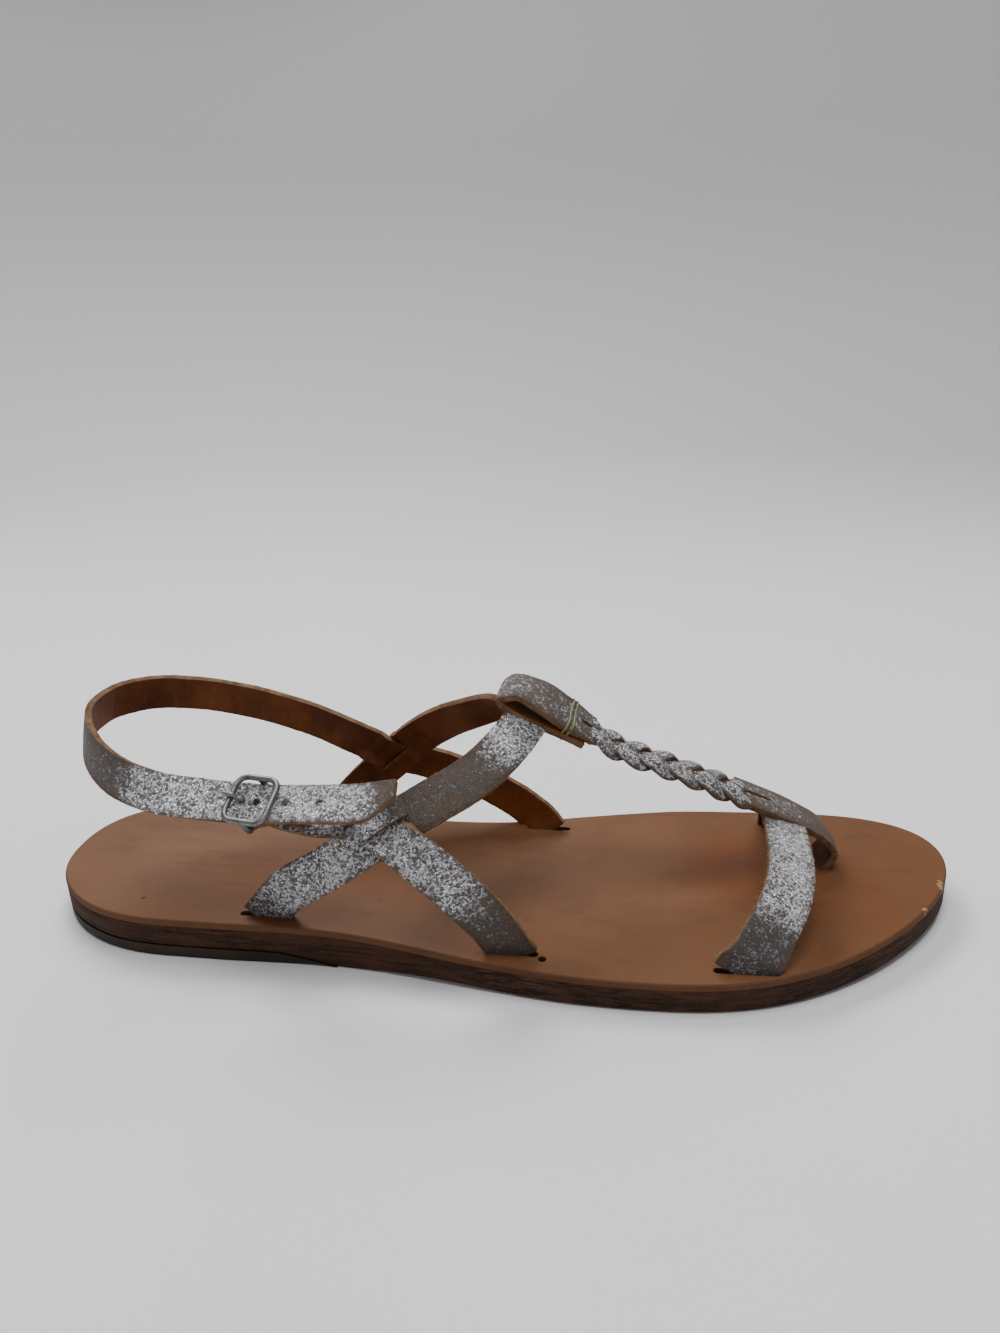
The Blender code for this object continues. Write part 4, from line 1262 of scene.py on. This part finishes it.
loopFrames = runFrames(frontLoop, 0.0007)
loopHalves = []
for d, _ in loopFrames:
    taper = ease((d - frontLoop.length + 0.008) / 0.008)
    width = tLook["width"] + (tLook["loopEnd"] - tLook["width"]) * taper
    loopHalves.append((-width / 2, width / 2))
loopSlit = [openSlit(frontLoop.length - 0.0030, 0.0050, 0.0012)]
sheets = [strapSheet(loopFrames, loopHalves, 8, loopSlit, tWearAndShade, 0.0003, seed=4)]
for k in range(3):
    strand = strandFrames(k)
    wide = [tLook["strand"] / 2 * (0.86 + 0.26 * d / braidRun.length) for d, _ in strand]
    wide = [(-w, w) for w in wide]
    sheets.append(strapSheet(strand, wide, 6, (), braidWearAndShade, tLook["crown"], 0.00008, 20 + k))
postFrames = runFrames(toePost, 0.0007)
postHalves = straightHalves(postFrames, tLook["width"])
postSlit = [openSlit(0.0058, 0.0110, 0.0013)]
sheets.append(strapSheet(postFrames, postHalves, 8, postSlit, postWearAndShade, 0.0004, seed=5))
keep(leatherPiece("tStrap", sheets, [foil, darkInner, rawEdge], soften=0.0003))
keep(fibreTuft("tStrapFibres", postFrames, postHalves, 160, 14))
keep(fibreTuft("loopFibres", loopFrames, loopHalves, 120, 15))
print("Sandal: T-strap made")

# Toe strap: it spreads where it goes down at the lateral side
toeLook = {"width": 0.0125, "spread": 0.0016, "lip": 0.0014}
frames = runFrames(toeRun, 0.0008)
halves = []
for d, _ in frames:
    above = d - shoe["root"]
    wide = toeLook["width"] / 2 + toeLook["spread"] / 2 * ease((0.016 - above) / 0.014)
    halves.append((-wide - toeLook["lip"] * ease((0.0045 - above) / 0.004), wide))


# Foil wear, and painted shade: the foil is painted darker low on the lateral side
def toeWearAndShade(d, v):
    low = ease((0.027 - d) / 0.008)
    return 0.12 + 0.20 * (abs(v) / 0.0066) ** 4, 0.05 + 0.80 * low


sheet = strapSheet(frames, halves, 10, (), toeWearAndShade, 0.00025, 0.00016, seed=6)
keepStrap("toeStrap", sheet, frames, halves, 460, 16, (0.0006, 0.0022))
print("Sandal: toe strap made")

# Two stitches of green thread across the end of the loop
stitchLook = {"radius": 0.00030, "places": (0.0078, 0.0092), "material": threadFinish()}


def stitch(name, distance):
    middle, along, across, out = frontLoop.frame(frontLoop.length - distance)
    half = tLook["width"] / 2
    up, down = shoe["strap"] / 2 + 0.0003, -(1.9 * shoe["strap"])
    corners = [
        (-half - 0.0004, down), (-half - 0.0004, -0.0006), (-half + 0.0006, up), (0.0, up + 0.0001),
        (half - 0.0006, up), (half + 0.0004, -0.0006), (half + 0.0004, down), (0.0, down - 0.0004),
    ]
    line = softLine([middle + v * across + c * out for v, c in corners], 48, True)
    return wirePiece(name, [(line, stitchLook["radius"], True)], stitchLook["material"])


for k, distance in enumerate(stitchLook["places"]):
    keep(stitch(f"stitch{k + 1}", distance))
print("Sandal: stitches made")


# Stage: a pale floor that rises far out into a round wall, soft light and the camera
stageLook = {"flat": 1.1, "bend": 0.5, "wall": 0.9, "tone": (0.68, 0.68, 0.69)}


def makeStage():
    work = bmesh.new()
    profile = [(0.0, 0.0), (0.3, 0.0), (stageLook["flat"], 0.0)]
    for k in range(1, 9):
        a = math.pi / 2 * k / 8
        r = stageLook["bend"]
        profile.append((stageLook["flat"] + r * math.sin(a), r * (1 - math.cos(a))))
    profile.append((stageLook["flat"] + stageLook["bend"], stageLook["bend"] + stageLook["wall"]))
    sides = 96
    centre = work.verts.new((0, 0, 0))
    rings = []
    for radius, height in profile[1:]:
        ring = []
        for k in range(sides):
            a = 2 * math.pi * k / sides
            ring.append(work.verts.new((radius * math.cos(a), radius * math.sin(a), height)))
        rings.append(ring)
    for k in range(sides):
        work.faces.new((centre, rings[0][k], rings[0][(k + 1) % sides]))
        for low, high in zip(rings, rings[1:]):
            work.faces.new((low[k], low[(k + 1) % sides], high[(k + 1) % sides], high[k]))
    bmesh.ops.recalc_face_normals(work, faces=work.faces)
    finish = Finish("paperFloor", Roughness=0.85, Specular_IOR_Level=0.2)
    cloud = finish.noise(finish.place(), 9, 3.0, 0.6)
    # painted shade: far is the tone the floor is painted towards away from the camera and up the
    # wall, standing in for the light falling off there
    dark, light, far = [tuple(v * k for v in stageLook["tone"]) for k in (0.96, 1.04, 0.62)]
    _, y, height = finish.axes(finish.place())
    colour = finish.mix(cloud, dark, light)
    colour = finish.mix(y.rise(0.05, 0.75) * 0.75, colour, far)
    colour = finish.mix(height.rise(0.0, 0.5), colour, far)
    obj = pieceFrom(work, "floor", finish.set(Base_Color=colour))
    obj.data.shade_smooth()
    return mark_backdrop(obj)


def areaLight(name, place, size, power, tint):
    data = bpy.data.lights.new(name, "AREA")
    data.shape = "RECTANGLE"
    data.size, data.size_y = size
    data.energy = power
    data.color = tint
    obj = bpy.data.objects.new(name, data)
    bpy.context.scene.collection.objects.link(obj)
    obj.location = place
    obj.rotation_euler = (-Vector(place)).to_track_quat("-Z", "Y").to_euler()


makeStage()
lightLook = {
    "sky": (0.90, 0.95, 1.0),
    "skyStrength": 0.14,
    "lamps": (      # name, place, size, power and tint
        ("window", (-0.55, 0.95, 1.25), (1.1, 0.7), 26, (1, 1, 1)),
        ("ceiling", (0.10, -0.05, 1.30), (0.9, 0.5), 15, (1, 1, 1)),
        ("fill", (0.5, -0.9, 0.6), (0.8, 0.6), 1.0, (1.0, 0.97, 0.93)),
    ),
}
world = bpy.data.worlds.new("studio")
world.use_nodes = True
world.node_tree.nodes["Background"].inputs["Color"].default_value = (*lightLook["sky"], 1)
world.node_tree.nodes["Background"].inputs["Strength"].default_value = lightLook["skyStrength"]
bpy.context.scene.world = world
for lamp in lightLook["lamps"]:
    areaLight(*lamp)

cameraLook = {
    "place": (0.03519, -0.22367, 0.15733),
    "right": (0.99246, 0.11621, -0.03886),
    "up": (-0.00336, 0.34286, 0.93938),
    "forward": (-0.12249, 0.93217, -0.34067),
    "lens": 31.85,
}


def makeCamera():
    data = bpy.data.cameras.new("camera")
    data.sensor_fit = "HORIZONTAL"
    data.sensor_width = 36
    data.lens = cameraLook["lens"]
    data.clip_start = 0.01
    obj = bpy.data.objects.new("camera", data)
    bpy.context.scene.collection.objects.link(obj)
    right, up = Vector(cameraLook["right"]), Vector(cameraLook["up"])
    turn = Matrix((right, up, -Vector(cameraLook["forward"]))).transposed().to_4x4()
    obj.matrix_world = Matrix.Translation(cameraLook["place"]) @ turn
    bpy.context.scene.camera = obj


makeCamera()
print("Sandal: stage, light and camera made")
